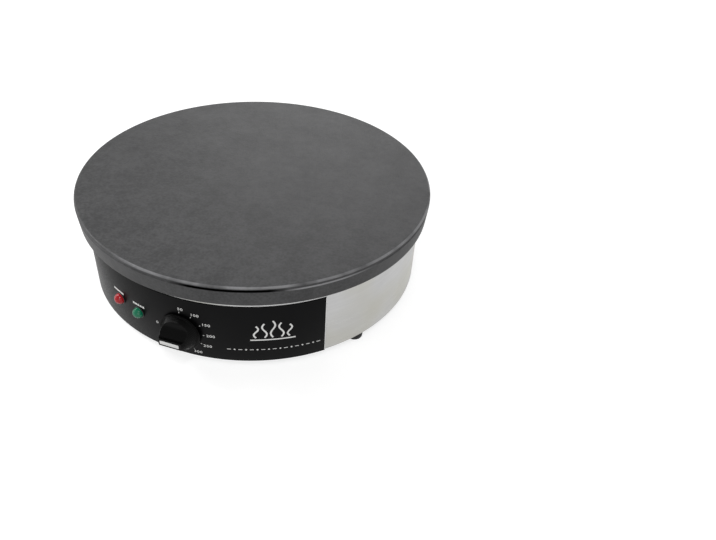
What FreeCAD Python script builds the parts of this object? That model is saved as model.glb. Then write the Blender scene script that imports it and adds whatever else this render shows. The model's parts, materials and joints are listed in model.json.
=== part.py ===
import FreeCAD, Part
import os
from math import atan2, cos, radians, sin, sqrt, tan

# Electric crepe maker: a cast griddle plate on a round stainless drum.
# Millimetres, +Z up. The origin is on the resting plane, under the drum's axis.
# The knob looks along -Y. Azimuths are degrees from there towards +X.

V = FreeCAD.Vector

# Griddle plate
PLATE_R = 200.0          # radius of the 400 mm cooking surface
PLATE_H = 24.0           # height of the rim seen from the side
PLATE_T = 12.0           # thickness of the cooking slab
PLATE_DRAFT = 2.0        # casting draft: the rim's lower edge is this much smaller
PLATE_EDGE_R = 2.6       # rounding of the top edge
RIM_T = 5.5              # wall of the hanging rim
RIM_EDGE_R = 1.2         # rounding of the rim's lower edge
RIM_GROOVE_R = 0.8       # turned groove under the top edge
RIM_OVERLAP = 6.0        # how far the drum reaches up inside the rim

# Drum of stainless sheet
OVERHANG = 10.0          # the plate stands out past the drum by this much
SHEET_T = 1.0            # sheet of the drum
DRUM_H = 88.0            # height of the drum's wall
DRUM_FLANGE = 13.0       # lower flange, folded inwards
LIP_CLEAR = 0.5          # upper lip, folded inwards, to the plate's bosses

# Base cover and feet
BASE_T = 1.0             # sheet of the base cover
BASE_INSET = 4.0         # the cover's edge stands back from the drum by this much
FOOT_H = 8.5             # rubber foot
FOOT_R = 10.0
FOOT_TAPER = 1.0         # the foot is this much smaller at the floor
FOOT_INSET = 1.5         # the foot's edge stands back from the drum by this much
FOOT_SIDE_AZ = 59.5      # front feet stand this far to each side of the knob
VENT_L = 34.0            # vent slots in the base cover
VENT_R = 2.2
VENT_COUNT = 18
VENT_RINGS = (60.0, 112.0)

# Printed control panel
PANEL_T = 0.9
PANEL_H = 73.4
PANEL_LIFT = 0.3         # gap over the drum's lower edge
PANEL_LEFT_AZ = -52.0
PANEL_RIGHT_AZ = 45.2

# Knob and thermostat
KNOB_UP = 31.0           # knob axis over the drum's lower edge
KNOB_R = 22.5
KNOB_FLANGE_T = 2.4
KNOB_FLANGE_W = 1.7      # the flange stands out past the tapered body
KNOB_TAPER = 7.6         # the body is this much smaller at its front
KNOB_EDGE_R = 0.6        # rounded edges
KNOB_DEPTH = 22.0
KNOB_GAP = 0.8           # knob to panel
KNOB_WALL = 2.2          # wall round the hollow
KNOB_HUB_R = 7.0
KNOB_HUB_BACK = 2.5      # the hub stands back from the knob's rim
KNOB_HOLLOW = 7.0        # depth of the hollow behind
GRIP_T = 8.6             # grip bar across the knob
SCOOP_R = 13.0           # radius of the finger scoops
INLAY_L = 21.0
INLAY_W = 4.4
INLAY_T = 0.8
INLAY_SHIFT = 0.7        # the inlay lies towards the pointing end
SHAFT_R = 3.0
SHAFT_FLAT = 1.6         # flat of the D shaft over its axis
SHAFT_IN_KNOB = 14.0
SHAFT_IN_SWITCH = 6.0
BUSHING_R = 4.8
MOUNT_W = 30.0           # thermostat's mounting plate
MOUNT_H = 44.0
MOUNT_T = 1.5
SWITCH_W = 38.0          # thermostat's housing
SWITCH_H = 38.0
SWITCH_D = 32.0
SWITCH_CORNER_R = 3.0
SWITCH_SCREW_SPAN = 28.0
SCREW_R = 2.0            # M4 screws
SCREW_HEAD_R = 3.5
SCREW_HEAD_H = 2.0
SWITCH_SCREW_L = 4.2

# Pilot lamps
RED_AZ = -24.4
RED_UP = 35.6
GREEN_AZ = -15.7
GREEN_UP = 33.3
LENS_R = 5.9
LENS_H = 6.6             # how far the lens stands out past its bezel
LENS_SPIGOT_R = 4.0
LENS_SPIGOT_L = 3.0
BEZEL_R = 6.7
BEZEL_T = 0.8
LAMP_BARREL_R = 5.0
LAMP_BARREL_L = 22.0
LAMP_BORE_R = 4.1
LAMP_BORE_L = 6.0
LAMP_NUT_AF = 13.0
LAMP_NUT_H = 3.0

# Heating elements under the plate
TUBE_R = 4.25
RING_EDGE = 15.0         # outer ring stands in from the clamp plate's edge
RING_PITCH = 65.0        # outer ring to inner ring
LEG_AZ = 110.0           # the rings open here
LEG_HALF_W = 31.0           # half the opening, along the ring
LEG_BEND_R = 12.0
LEG_DROP = 8.0           # the legs reach this far below the heat shield
SEAL_L = 6.0
SEAL_WALL = 0.6
PIN_R = 1.5
PIN_L = 3.0
TAB_W = 6.3              # flat terminals
TAB_T = 0.8
TAB_L = 10.0

# Clamp plate, insulation and heat shield
CLAMP_T = 2.0
BOSS_GAP = 2.0           # bosses to clamp plate
INSULATION_T = 18.0
INSULATION_INSET = 1.5   # insulation stands in from the shield's wall
SHIELD_T = 1.0
SHIELD_WALL_H = 13.0
STUD_R = 3.0             # M6 studs
STUD_AZ = (45.0, 135.0, 225.0, 315.0)
STUD_IN_PLATE = 7.0
STUD_TAIL = 8.0
NUT_AF = 10.0            # M6 nuts
NUT_H = 5.0
NUT_POCKET_CLEAR = 1.6

# Brackets that carry the plate
BRACKET_AZ = (30.0, 150.0, 270.0)
BRACKET_HALF_AZ = 5.0
BRACKET_T = 2.0
BRACKET_DROP = 24.0
BOLT_IN = 13.0           # bolt circle stands in from the drum's wall
BOSS_R = 9.0
BOSS_H = 9.0
BOLT_R = 3.0             # M6 bolts
BOLT_HEAD_AF = 10.0
BOLT_HEAD_H = 4.0
BOLT_DEPTH = 12.0        # thread inside the plate

# Sensing bulb and capillary
BULB_R = 3.0
BULB_L = 90.0
SADDLE_L = 60.0
SADDLE_W = 14.0
SADDLE_GRIP = 1.6        # the saddle holds the bulb up to this height over its base
CAPILLARY_R = 1.0
CAPILLARY_HOLE_CLEAR = 3.6
CAPILLARY_OUT = 28.0     # straight on past the bulb
CAPILLARY_LOW = 12.0     # turns this far under the heat shield
CAPILLARY_SWING_X = 33.0 # sweeps back towards the thermostat
CAPILLARY_SWING_Y = 7.0
CAPILLARY_IN = 22.0      # straight into the housing
CAPILLARY_IN_X = 8.0
CAPILLARY_IN_UP = 12.0

# Thermal cut-out under the heat shield
CUTOUT_Y = 62.0
CUTOUT_R = 8.0
CUTOUT_CAP_H = 4.0
CUTOUT_BODY_H = 9.0
CUTOUT_EAR_SPAN = 26.0
CUTOUT_EAR_W = 8.0
CUTOUT_EAR_T = 0.8
SMALL_SCREW_R = 1.5      # M3 screws
SMALL_HEAD_R = 2.8
SMALL_HEAD_H = 1.8

# Cable gland at the back
GLAND_UP = 32.0
GLAND_STEM_R = 10.0
GLAND_STEM_L = 12.0
GLAND_HEX_AF = 24.0
GLAND_HEX_T = 5.0
GLAND_THREAD_R = 9.0
GLAND_THREAD_L = 10.0
GLAND_CAP_R = 11.5
GLAND_CAP_L = 18.6
GLAND_CAP_WALL = 2.4
GLAND_SEAL_WALL = 2.2
CABLE_HOLE_R = 4.75
LOCKNUT_H = 4.5

# Terminal shelf at the back
SHELF_AZ = 150.0
SHELF_HALF_AZ = 9.0
SHELF_EXTRA_AZ = 7.0     # the shelf runs on this far for the earth stud
SHELF_T = 1.5
SHELF_UP = 12.5          # shelf over the drum's lower edge
SHELF_DEEP = 37.0
SHELF_LEAF_H = 22.0
BLOCK_L = 45.0
BLOCK_D = 17.0
BLOCK_H = 17.0
BLOCK_BACK = 16.0        # block to the drum's wall
POLE_PITCH = 13.0
POLE_COUNT = 3
POLE_R = 3.0
POLE_BORE_R = 1.8
POLE_SCREW_SPAN = 8.0
POLE_SCREW_R = 1.3
POLE_WELL_R = 2.2
EARTH_R = 2.5
EARTH_L = 18.0
EARTH_NUT_AF = 8.0
EARTH_NUT_H = 4.0
EARTH_BACK = 26.0

# Clearances
SEAT = 0.1               # parts that rest on each other
RUN_FIT = 0.05           # a turning shaft in its bore
THREAD_FIT = 0.05        # a screw in its tapped hole
SCREW_CLEAR = 0.25       # a screw in a plain hole
SLIDE_FIT = 0.1          # parts pushed into each other
PASS_CLEAR = 1.0         # tubes through sheet

# Heights
drum_z0 = FOOT_H + BASE_T
drum_z1 = drum_z0 + DRUM_H
rim_z0 = drum_z1 - RIM_OVERLAP
top_z = rim_z0 + PLATE_H
under_z = top_z - PLATE_T
ring_z = under_z - SEAT - TUBE_R
clamp_z1 = ring_z - TUBE_R - SEAT
clamp_z0 = clamp_z1 - CLAMP_T
insulation_z1 = clamp_z0 - SEAT
insulation_z0 = insulation_z1 - INSULATION_T
shield_z1 = insulation_z0 - SEAT
shield_z0 = shield_z1 - SHIELD_T
knob_z = drum_z0 + KNOB_UP
gland_z = drum_z0 + GLAND_UP
shelf_z1 = drum_z0 + SHELF_UP + SHELF_T

# Radii from the drum's axis
drum_r = PLATE_R - OVERHANG
wall_r = drum_r - SHEET_T
panel_r = drum_r + PANEL_T
bolt_circle_r = wall_r - BOLT_IN
clamp_r = bolt_circle_r - BOSS_R - BOSS_GAP
outer_ring_r = clamp_r - RING_EDGE
inner_ring_r = outer_ring_r - RING_PITCH
stud_circle_r = (outer_ring_r + inner_ring_r) / 2
foot_circle_r = drum_r - FOOT_INSET - FOOT_R
cover_r = drum_r - BASE_INSET
screw_circle_r = wall_r - DRUM_FLANGE / 2
FOOT_AZ = (FOOT_SIDE_AZ, 180.0, 360.0 - FOOT_SIDE_AZ)
COVER_SCREW_AZ = (0.0, (FOOT_SIDE_AZ + 180.0) / 2, -(FOOT_SIDE_AZ + 180.0) / 2)


def spot(radius, azimuth, z=0.0):
    """Point at a radius and azimuth."""
    return V(radius * sin(radians(azimuth)), -radius * cos(radians(azimuth)), z)


def along(azimuth):
    """Unit vector of growing azimuth."""
    return V(cos(radians(azimuth)), sin(radians(azimuth)), 0)


def post(radius, z0, z1, place=V(0, 0, 0)):
    """Upright cylinder between two heights."""
    return Part.makeCylinder(radius, z1 - z0, V(place.x, place.y, z0))


def rod(radius, y0, y1, x=0.0, z=0.0):
    """Cylinder along Y."""
    return Part.makeCylinder(radius, y1 - y0, V(x, y0, z), V(0, 1, 0))


def block(x0, x1, y0, y1, z0, z1):
    """Box between its faces."""
    return Part.makeBox(x1 - x0, y1 - y0, z1 - z0, V(x0, y0, z0))


def hexagon(across_flats, z0, z1, place=V(0, 0, 0)):
    """Upright hexagonal prism."""
    corner_r = across_flats / sqrt(3)
    turns = [radians(60 * i) for i in range(7)]
    ring = [V(place.x + corner_r * cos(t), place.y + corner_r * sin(t), z0) for t in turns]
    return Part.Face(Part.makePolygon(ring)).extrude(V(0, 0, z1 - z0))


def turned_to(shape, azimuth):
    """Copy of a shape built at azimuth 0, turned about the drum's axis."""
    copy = shape.copy()
    copy.rotate(V(0, 0, 0), V(0, 0, 1), azimuth)
    return copy


def joined(shapes):
    """Shapes fused into one solid."""
    whole = shapes[0]
    if len(shapes) > 1:
        whole = whole.fuse(shapes[1:])
    return whole.removeSplitter()


def group(shapes):
    """Separate solids kept side by side."""
    return Part.makeCompound([solid for shape in shapes for solid in shape.Solids])


def profile(stations, place):
    """Closed face through stations; a pair of points is an arc through the first to the second."""
    edges = []
    here = stations[0]
    for step in stations[1:] + [stations[0]]:
        if isinstance(step[0], tuple):
            through, here_next = step
            edges.append(Part.Arc(place(here), place(through), place(here_next)).toShape())
        else:
            here_next = step
            edges.append(Part.LineSegment(place(here), place(here_next)).toShape())
        here = here_next
    return Part.Face(Part.Wire(edges))


def turned_upright(stations):
    """Solid of revolution about Z from (radius, height) stations."""
    face = profile(stations, lambda p: V(p[0], 0, p[1]))
    return face.revolve(V(0, 0, 0), V(0, 0, 1), 360)


def turned_outward(stations, base_r, z):
    """Solid of revolution about a line along -Y from (radius, depth) stations."""
    face = profile(stations, lambda p: V(p[0], -base_r - p[1], z))
    return face.revolve(V(0, 0, z), V(0, 1, 0), 360)


def sector(r_out, r_in, z0, z1, az0, az1):
    """Piece of an upright ring between two azimuths."""
    corners = [V(r_in, 0, z0), V(r_out, 0, z0), V(r_out, 0, z1), V(r_in, 0, z1), V(r_in, 0, z0)]
    face = Part.Face(Part.makePolygon(corners))
    face.rotate(V(0, 0, 0), V(0, 0, 1), az0 - 90)
    return face.revolve(V(0, 0, 0), V(0, 0, 1), az1 - az0)


def slot(p, q, radius, z0, z1):
    """Upright slot-shaped cutter between two points."""
    side = V(q.x - p.x, q.y - p.y, 0)
    side.normalize()
    side = V(-side.y, side.x, 0) * radius
    ring = [p + side, q + side, q - side, p - side, p + side]
    ring = [V(c.x, c.y, z0) for c in ring]
    middle = Part.Face(Part.makePolygon(ring)).extrude(V(0, 0, z1 - z0))
    return joined([middle, post(radius, z0, z1, p), post(radius, z0, z1, q)])


def swept(edges, radius):
    """Round tube along tangent edges."""
    path = Part.Wire(edges)
    start = edges[0].firstVertex().Point
    heading = edges[0].tangentAt(edges[0].FirstParameter)
    section = Part.Wire(Part.makeCircle(radius, start, heading))
    return path.makePipeShell([section], True, False)


def rounded_route(points):
    """Straight runs joined by tangent arcs as large as their two runs allow."""
    edges = []
    here = points[0]
    for before, corner, after in zip(points, points[1:], points[2:]):
        back = before - corner
        ahead = after - corner
        shorter = min(back.Length, ahead.Length)
        cut = 0.45 * shorter
        half_turn = (radians(180) - back.getAngle(ahead)) / 2
        radius = cut / tan(half_turn)
        back.normalize()
        ahead.normalize()
        enter = corner + back * cut
        leave = corner + ahead * cut
        inward = back + ahead
        inward.normalize()
        through = corner + inward * (radius / cos(half_turn) - radius)
        edges.append(Part.LineSegment(here, enter).toShape())
        edges.append(Part.Arc(enter, through, leave).toShape())
        here = leave
    edges.append(Part.LineSegment(here, points[-1]).toShape())
    return edges


def griddle_plate():
    """Cooking slab with a hanging rim, three bosses and tapped holes."""
    low_r = PLATE_R - PLATE_DRAFT
    rim_in_r = low_r - RIM_T
    lean = sin(radians(45))

    def side_r(z):
        return PLATE_R - PLATE_DRAFT * (top_z - PLATE_EDGE_R - z) / (PLATE_H - PLATE_EDGE_R)

    edge_mid = (PLATE_R - PLATE_EDGE_R * (1 - lean), top_z - PLATE_EDGE_R * (1 - lean))
    groove_z1 = top_z - PLATE_EDGE_R - RIM_GROOVE_R / 2
    groove_z0 = groove_z1 - 2 * RIM_GROOVE_R
    groove_mid = (side_r(groove_z1) - RIM_GROOVE_R / 2, (groove_z1 + groove_z0) / 2)
    foot_mid = (low_r - RIM_EDGE_R * (1 - lean), rim_z0 + RIM_EDGE_R * (1 - lean))
    plate = turned_upright([
        (0, top_z),
        (PLATE_R - PLATE_EDGE_R, top_z),
        (edge_mid, (PLATE_R, top_z - PLATE_EDGE_R)),
        (side_r(groove_z1), groove_z1),
        (groove_mid, (side_r(groove_z0), groove_z0)),
        (low_r, rim_z0 + RIM_EDGE_R),
        (foot_mid, (low_r - RIM_EDGE_R, rim_z0)),
        (rim_in_r, rim_z0),
        (rim_in_r, under_z),
        (0, under_z),
    ])
    bosses = [post(BOSS_R, under_z - BOSS_H, under_z + 1, spot(bolt_circle_r, az)) for az in BRACKET_AZ]
    plate = joined([plate] + bosses)
    bolt_z1 = bracket_z1() + SEAT + BOLT_DEPTH
    holes = [post(BOLT_R + THREAD_FIT, under_z - BOSS_H - 1, bolt_z1, spot(bolt_circle_r, az))
             for az in BRACKET_AZ]
    holes += [post(STUD_R + THREAD_FIT, under_z - 1, under_z + STUD_IN_PLATE + SEAT, place)
              for place in stud_places()]
    return plate.cut(holes)


def bracket_z1():
    """Top of the brackets, just under the plate's bosses."""
    return under_z - BOSS_H - SEAT


def stud_places():
    """Middle stud and four between the rings."""
    return [V(0, 0, 0)] + [spot(stud_circle_r, az) for az in STUD_AZ]


def ring_ends(ring_r):
    """For each end of a ring: where it stops and where its leg stands."""
    half_az = LEG_HALF_W / ring_r / radians(1)
    first = spot(ring_r, LEG_AZ + half_az, ring_z)
    first_leg = first - along(LEG_AZ + half_az) * LEG_BEND_R
    last = spot(ring_r, LEG_AZ - half_az, ring_z)
    last_leg = last + along(LEG_AZ - half_az) * LEG_BEND_R
    return [(first, first_leg), (last, last_leg)]


def leg_z0():
    """Lower end of the element's legs."""
    return shield_z0 - LEG_DROP


def heating_element(ring_r):
    """Open ring of heater tube with both ends bent down."""
    (first, first_leg), (last, last_leg) = ring_ends(ring_r)
    up = V(0, 0, LEG_BEND_R)
    lean = sin(radians(45))
    half_az = LEG_HALF_W / ring_r / radians(1)
    bend_z = ring_z - LEG_BEND_R
    rise = V(first_leg.x, first_leg.y, leg_z0())
    rise_top = V(first_leg.x, first_leg.y, bend_z)
    fall_top = V(last_leg.x, last_leg.y, bend_z)
    fall = V(last_leg.x, last_leg.y, leg_z0())
    first_mid = first - up + up * lean + (first_leg - first) * lean
    last_mid = last - up + up * lean + (last_leg - last) * lean
    edges = [Part.LineSegment(rise, rise_top).toShape(), Part.Arc(rise_top, first_mid, first).toShape()]
    quarters = 4
    start_az = LEG_AZ + half_az
    step_az = (360 - 2 * half_az) / quarters
    for i in range(quarters):
        az = start_az + i * step_az
        stops = [spot(ring_r, az + part * step_az, ring_z) for part in (0, 0.5, 1)]
        edges.append(Part.Arc(*stops).toShape())
    edges.append(Part.Arc(last, last_mid, fall_top).toShape())
    edges.append(Part.LineSegment(fall_top, fall).toShape())
    return swept(edges, TUBE_R)


def all_legs():
    """Every leg as (ring end, leg) pairs."""
    return ring_ends(outer_ring_r) + ring_ends(inner_ring_r)


def element_end_seals():
    """Silicone sleeves under the legs."""
    seals = []
    for _, leg in all_legs():
        body = post(TUBE_R + SEAL_WALL, leg_z0() - SEAL_L, leg_z0() - SEAT, leg)
        bore = post(PIN_R + SLIDE_FIT, leg_z0() - SEAL_L, leg_z0() - SEAT, leg)
        seals.append(body.cut(bore))
    return group(seals)


def element_terminals():
    """Terminal pins with flat tabs."""
    tabs = []
    for _, leg in all_legs():
        pin = post(PIN_R, leg_z0() - SEAL_L - PIN_L, leg_z0() - SEAT, leg)
        z1 = leg_z0() - SEAL_L - PIN_L / 2
        half = TAB_W / 2
        tab = block(leg.x - half, leg.x + half, leg.y - TAB_T / 2, leg.y + TAB_T / 2, z1 - TAB_L, z1)
        tabs.append(joined([pin, tab]))
    return group(tabs)


def bulb_z():
    """Axis of the sensing bulb."""
    return under_z - SEAT - BULB_R


def capillary_points():
    """Route of the capillary from the bulb to the thermostat."""
    y = -stud_circle_r
    x0 = BULB_L / 2
    drop_x = x0 + CAPILLARY_OUT
    z_low = shield_z0 - CAPILLARY_LOW
    y_back = switch_y1()
    z_in = knob_z + CAPILLARY_IN_UP
    return [
        V(x0, y, bulb_z()),
        V(drop_x, y, bulb_z()),
        V(drop_x, y, z_low),
        V(drop_x - CAPILLARY_SWING_X, y - CAPILLARY_SWING_Y, z_low - CAPILLARY_SWING_Y),
        V(CAPILLARY_IN_X, y_back + CAPILLARY_IN, z_in),
        V(CAPILLARY_IN_X, y_back, z_in),
    ]


def pass_holes(z0, z1):
    """Cutters for legs, studs and capillary through the sheets under the plate."""
    cutters = [slot(leg, end, TUBE_R + PASS_CLEAR, z0, z1) for end, leg in all_legs()]
    drop = capillary_points()[1]
    cutters.append(post(CAPILLARY_R + CAPILLARY_HOLE_CLEAR, z0, z1, drop))
    return cutters


def element_clamp_plate():
    """Steel disc that presses the elements against the plate."""
    plate = post(clamp_r, clamp_z0, clamp_z1)
    cutters = pass_holes(clamp_z0, clamp_z1)
    cutters += [post(STUD_R + SCREW_CLEAR, clamp_z0, clamp_z1, p) for p in stud_places()]
    return plate.cut(cutters)


def insulation_disc():
    """Ceramic fibre disc with pockets for the nuts and cut-out screws."""
    disc = post(clamp_r - SHIELD_T - INSULATION_INSET, insulation_z0, insulation_z1)
    pocket_r = NUT_AF / sqrt(3) + NUT_POCKET_CLEAR
    cutters = pass_holes(insulation_z0, insulation_z1)
    cutters += [post(pocket_r, insulation_z0, insulation_z1, p) for p in stud_places()]
    cutters += [post(SMALL_HEAD_R, insulation_z0, insulation_z0 + SMALL_HEAD_R, p) for p in cutout_screws()]
    return disc.cut(cutters)


def heat_shield():
    """Shallow steel tray under the insulation."""
    tray = post(clamp_r, shield_z0, shield_z1 + SHIELD_WALL_H)
    tray = tray.cut(post(clamp_r - SHIELD_T, shield_z1, shield_z1 + SHIELD_WALL_H))
    cutters = pass_holes(shield_z0, shield_z1)
    cutters += [post(STUD_R + SCREW_CLEAR, shield_z0, shield_z1, p) for p in stud_places()]
    cutters += [post(SMALL_SCREW_R + SCREW_CLEAR, shield_z0, shield_z1, p) for p in cutout_screws()]
    return tray.cut(cutters)


def clamp_studs():
    """Studs that hold the clamp plate and the heat shield."""
    return group([post(STUD_R, shield_z0 - STUD_TAIL, under_z + STUD_IN_PLATE, p) for p in stud_places()])


def nuts_under(z1, across_flats, height, bore_r, places):
    """Hexagonal nuts whose tops are at one height."""
    nuts = [hexagon(across_flats, z1 - height, z1, p).cut(post(bore_r, z1 - height, z1, p)) for p in places]
    return group(nuts)


def clamp_nuts():
    """Nuts under the clamp plate."""
    return nuts_under(clamp_z0 - SEAT, NUT_AF, NUT_H, STUD_R + THREAD_FIT, stud_places())


def shield_nuts():
    """Nuts under the heat shield."""
    return nuts_under(shield_z0 - SEAT, NUT_AF, NUT_H, STUD_R + THREAD_FIT, stud_places())


def plate_brackets():
    """Three angle brackets on the drum's inner wall."""
    z1 = bracket_z1()
    brackets = []
    for az in BRACKET_AZ:
        az0 = az - BRACKET_HALF_AZ
        az1 = az + BRACKET_HALF_AZ
        lip_z0 = drum_z1 - SHEET_T
        leaf_z1 = min(z1, lip_z0 - SEAT)
        leaf = sector(wall_r - SEAT, wall_r - BRACKET_T, leaf_z1 - BRACKET_DROP, leaf_z1, az0, az1)
        shelf = sector(wall_r - BRACKET_T, bolt_circle_r - BOSS_R, leaf_z1 - BRACKET_T, leaf_z1, az0, az1)
        riser = post(BOSS_R - SEAT, leaf_z1 - BRACKET_T, z1, spot(bolt_circle_r, az))
        bracket = joined([leaf, shelf, riser] if z1 > leaf_z1 else [leaf, shelf])
        hole = post(BOLT_R + SCREW_CLEAR, leaf_z1 - BRACKET_T - 1, z1 + 1, spot(bolt_circle_r, az))
        brackets.append(bracket.cut(hole))
    return group(brackets)


def bracket_under_z():
    """Underside of the brackets' shelves."""
    return min(bracket_z1(), drum_z1 - SHEET_T - SEAT) - BRACKET_T


def plate_bolts():
    """Hexagon bolts from the brackets up into the plate."""
    z0 = bracket_under_z() - SEAT
    bolts = []
    for az in BRACKET_AZ:
        place = spot(bolt_circle_r, az)
        head = hexagon(BOLT_HEAD_AF, z0 - BOLT_HEAD_H, z0, place)
        bolts.append(joined([head, post(BOLT_R, z0 - 1, bracket_z1() + BOLT_DEPTH, place)]))
    return group(bolts)


def front_cut(radius, azimuth, z, x=0.0, dz=0.0):
    """Cutter through wall and panel along a radius."""
    return turned_to(rod(radius, -panel_r - 2, -wall_r + 2, x, z + dz), azimuth)


def front_cutters():
    """Shaft, screw and lamp holes in the drum and its panel."""
    half = SWITCH_SCREW_SPAN / 2
    cutters = [front_cut(BUSHING_R + SCREW_CLEAR, 0, knob_z)]
    cutters += [front_cut(SCREW_R + SCREW_CLEAR, 0, knob_z, 0, side * half) for side in (-1, 1)]
    cutters.append(front_cut(LAMP_BARREL_R + SCREW_CLEAR, RED_AZ, drum_z0 + RED_UP))
    cutters.append(front_cut(LAMP_BARREL_R + SCREW_CLEAR, GREEN_AZ, drum_z0 + GREEN_UP))
    return cutters


def drum_shell():
    """Stainless wrap with an inward lip above and a flange below."""
    wall = post(drum_r, drum_z0, drum_z1).cut(post(wall_r, drum_z0 + SHEET_T, drum_z1 - SHEET_T))
    wall = wall.cut(post(wall_r - DRUM_FLANGE, drum_z0, drum_z0 + SHEET_T))
    wall = wall.cut(post(bolt_circle_r + BOSS_R + LIP_CLEAR, drum_z1 - SHEET_T, drum_z1))
    z1 = drum_z0 + SHEET_T
    cutters = front_cutters()
    cutters.append(turned_to(rod(GLAND_STEM_R + SCREW_CLEAR, -drum_r - 2, -wall_r + 2, 0, gland_z), 180))
    cutters += [post(SCREW_R + THREAD_FIT, drum_z0, z1, spot(screw_circle_r, az)) for az in COVER_SCREW_AZ]
    cutters += [post(EARTH_R + SCREW_CLEAR, drum_z0, z1, spot(foot_circle_r, az)) for az in FOOT_AZ]
    return wall.cut(cutters)


def control_panel():
    """Thin printed panel wrapped round the drum's front."""
    z0 = drum_z0 + PANEL_LIFT
    panel = sector(panel_r, drum_r, z0, z0 + PANEL_H, PANEL_LEFT_AZ, PANEL_RIGHT_AZ)
    return panel.cut(front_cutters())


def mount_y0():
    """Front of the thermostat's mounting plate: its long edges touch the round wall."""
    return -sqrt(wall_r ** 2 - (MOUNT_W / 2) ** 2) + SEAT / 2


def switch_y0():
    """Front of the thermostat's housing."""
    return mount_y0() + MOUNT_T + SEAT / 2


def switch_y1():
    """Back of the thermostat's housing."""
    return switch_y0() + SWITCH_D


def thermostat_mount():
    """Mounting plate with bushing and two tapped holes."""
    half_w = MOUNT_W / 2
    half_h = MOUNT_H / 2
    y0 = mount_y0()
    plate = block(-half_w, half_w, y0, y0 + MOUNT_T, knob_z - half_h, knob_z + half_h)
    bushing = rod(BUSHING_R, -panel_r, y0 + MOUNT_T / 2, 0, knob_z)
    whole = joined([plate, bushing])
    cutters = [rod(SHAFT_R + RUN_FIT, -panel_r - 1, y0 + MOUNT_T + 1, 0, knob_z)]
    half = SWITCH_SCREW_SPAN / 2
    cutters += [rod(SCREW_R + THREAD_FIT, y0 - 1, y0 + MOUNT_T + 1, 0, knob_z + side * half) for side in (-1, 1)]
    return whole.cut(cutters)


def thermostat_housing():
    """Moulded housing of the thermostat with the shaft's and screws' bores."""
    half_w = SWITCH_W / 2
    half_h = SWITCH_H / 2
    body = block(-half_w, half_w, switch_y0(), switch_y1(), knob_z - half_h, knob_z + half_h)
    rims = [e for e in body.Edges if abs(e.tangentAt(0).y) > 0.9]
    body = body.makeFillet(SWITCH_CORNER_R, rims)
    bore_y1 = shaft_y1() + SEAT
    cutters = [rod(SHAFT_R + SCREW_CLEAR, switch_y0() - 1, bore_y1, 0, knob_z)]
    half = SWITCH_SCREW_SPAN / 2
    well_y1 = switch_y0() + SWITCH_SCREW_L
    cutters += [rod(SCREW_R + SCREW_CLEAR, switch_y0() - 1, well_y1, 0, knob_z + side * half) for side in (-1, 1)]
    return body.cut(cutters)


def tab_pair(y0, z, half_pitch):
    """Two flat tabs standing back from a face."""
    half = TAB_W / 2
    tabs = []
    for side in (-1, 1):
        x = side * half_pitch
        tabs.append(block(x - TAB_T / 2, x + TAB_T / 2, y0, y0 + TAB_L, z - half, z + half))
    return tabs


def thermostat_terminals():
    """Flat tabs at the back of the housing."""
    return group(tab_pair(switch_y1(), knob_z - SWITCH_H / 4, SWITCH_W / 4))


def thermostat_screws():
    """Two pan-head screws hidden behind the knob."""
    half = SWITCH_SCREW_SPAN / 2
    y_head = -panel_r - SEAT
    screws = []
    for side in (-1, 1):
        z = knob_z + side * half
        head = rod(SCREW_HEAD_R, y_head - SCREW_HEAD_H, y_head, 0, z)
        screws.append(joined([head, rod(SCREW_R, y_head - 1, mount_y0() + MOUNT_T + SCREW_CLEAR, 0, z)]))
    return group(screws)


def knob_back_r():
    """Radius of the plane behind the knob."""
    return panel_r + KNOB_GAP


def shaft_y1():
    """Inner end of the shaft."""
    return switch_y0() + SHAFT_IN_SWITCH


def thermostat_shaft():
    """D shaft that the knob is pushed onto."""
    y0 = -knob_back_r() - SHAFT_IN_KNOB
    shaft = rod(SHAFT_R, y0, shaft_y1(), 0, knob_z)
    flat_y1 = -knob_back_r() - KNOB_HUB_BACK + 1
    flat = block(-SHAFT_R, SHAFT_R, y0, flat_y1, knob_z + SHAFT_FLAT, knob_z + 2 * SHAFT_R)
    return shaft.cut(flat)


def knob_body_r(depth):
    """Radius of the tapered body at a depth."""
    share = (depth - KNOB_FLANGE_T) / (KNOB_DEPTH - KNOB_FLANGE_T)
    return KNOB_R - KNOB_FLANGE_W - KNOB_TAPER * share


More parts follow.
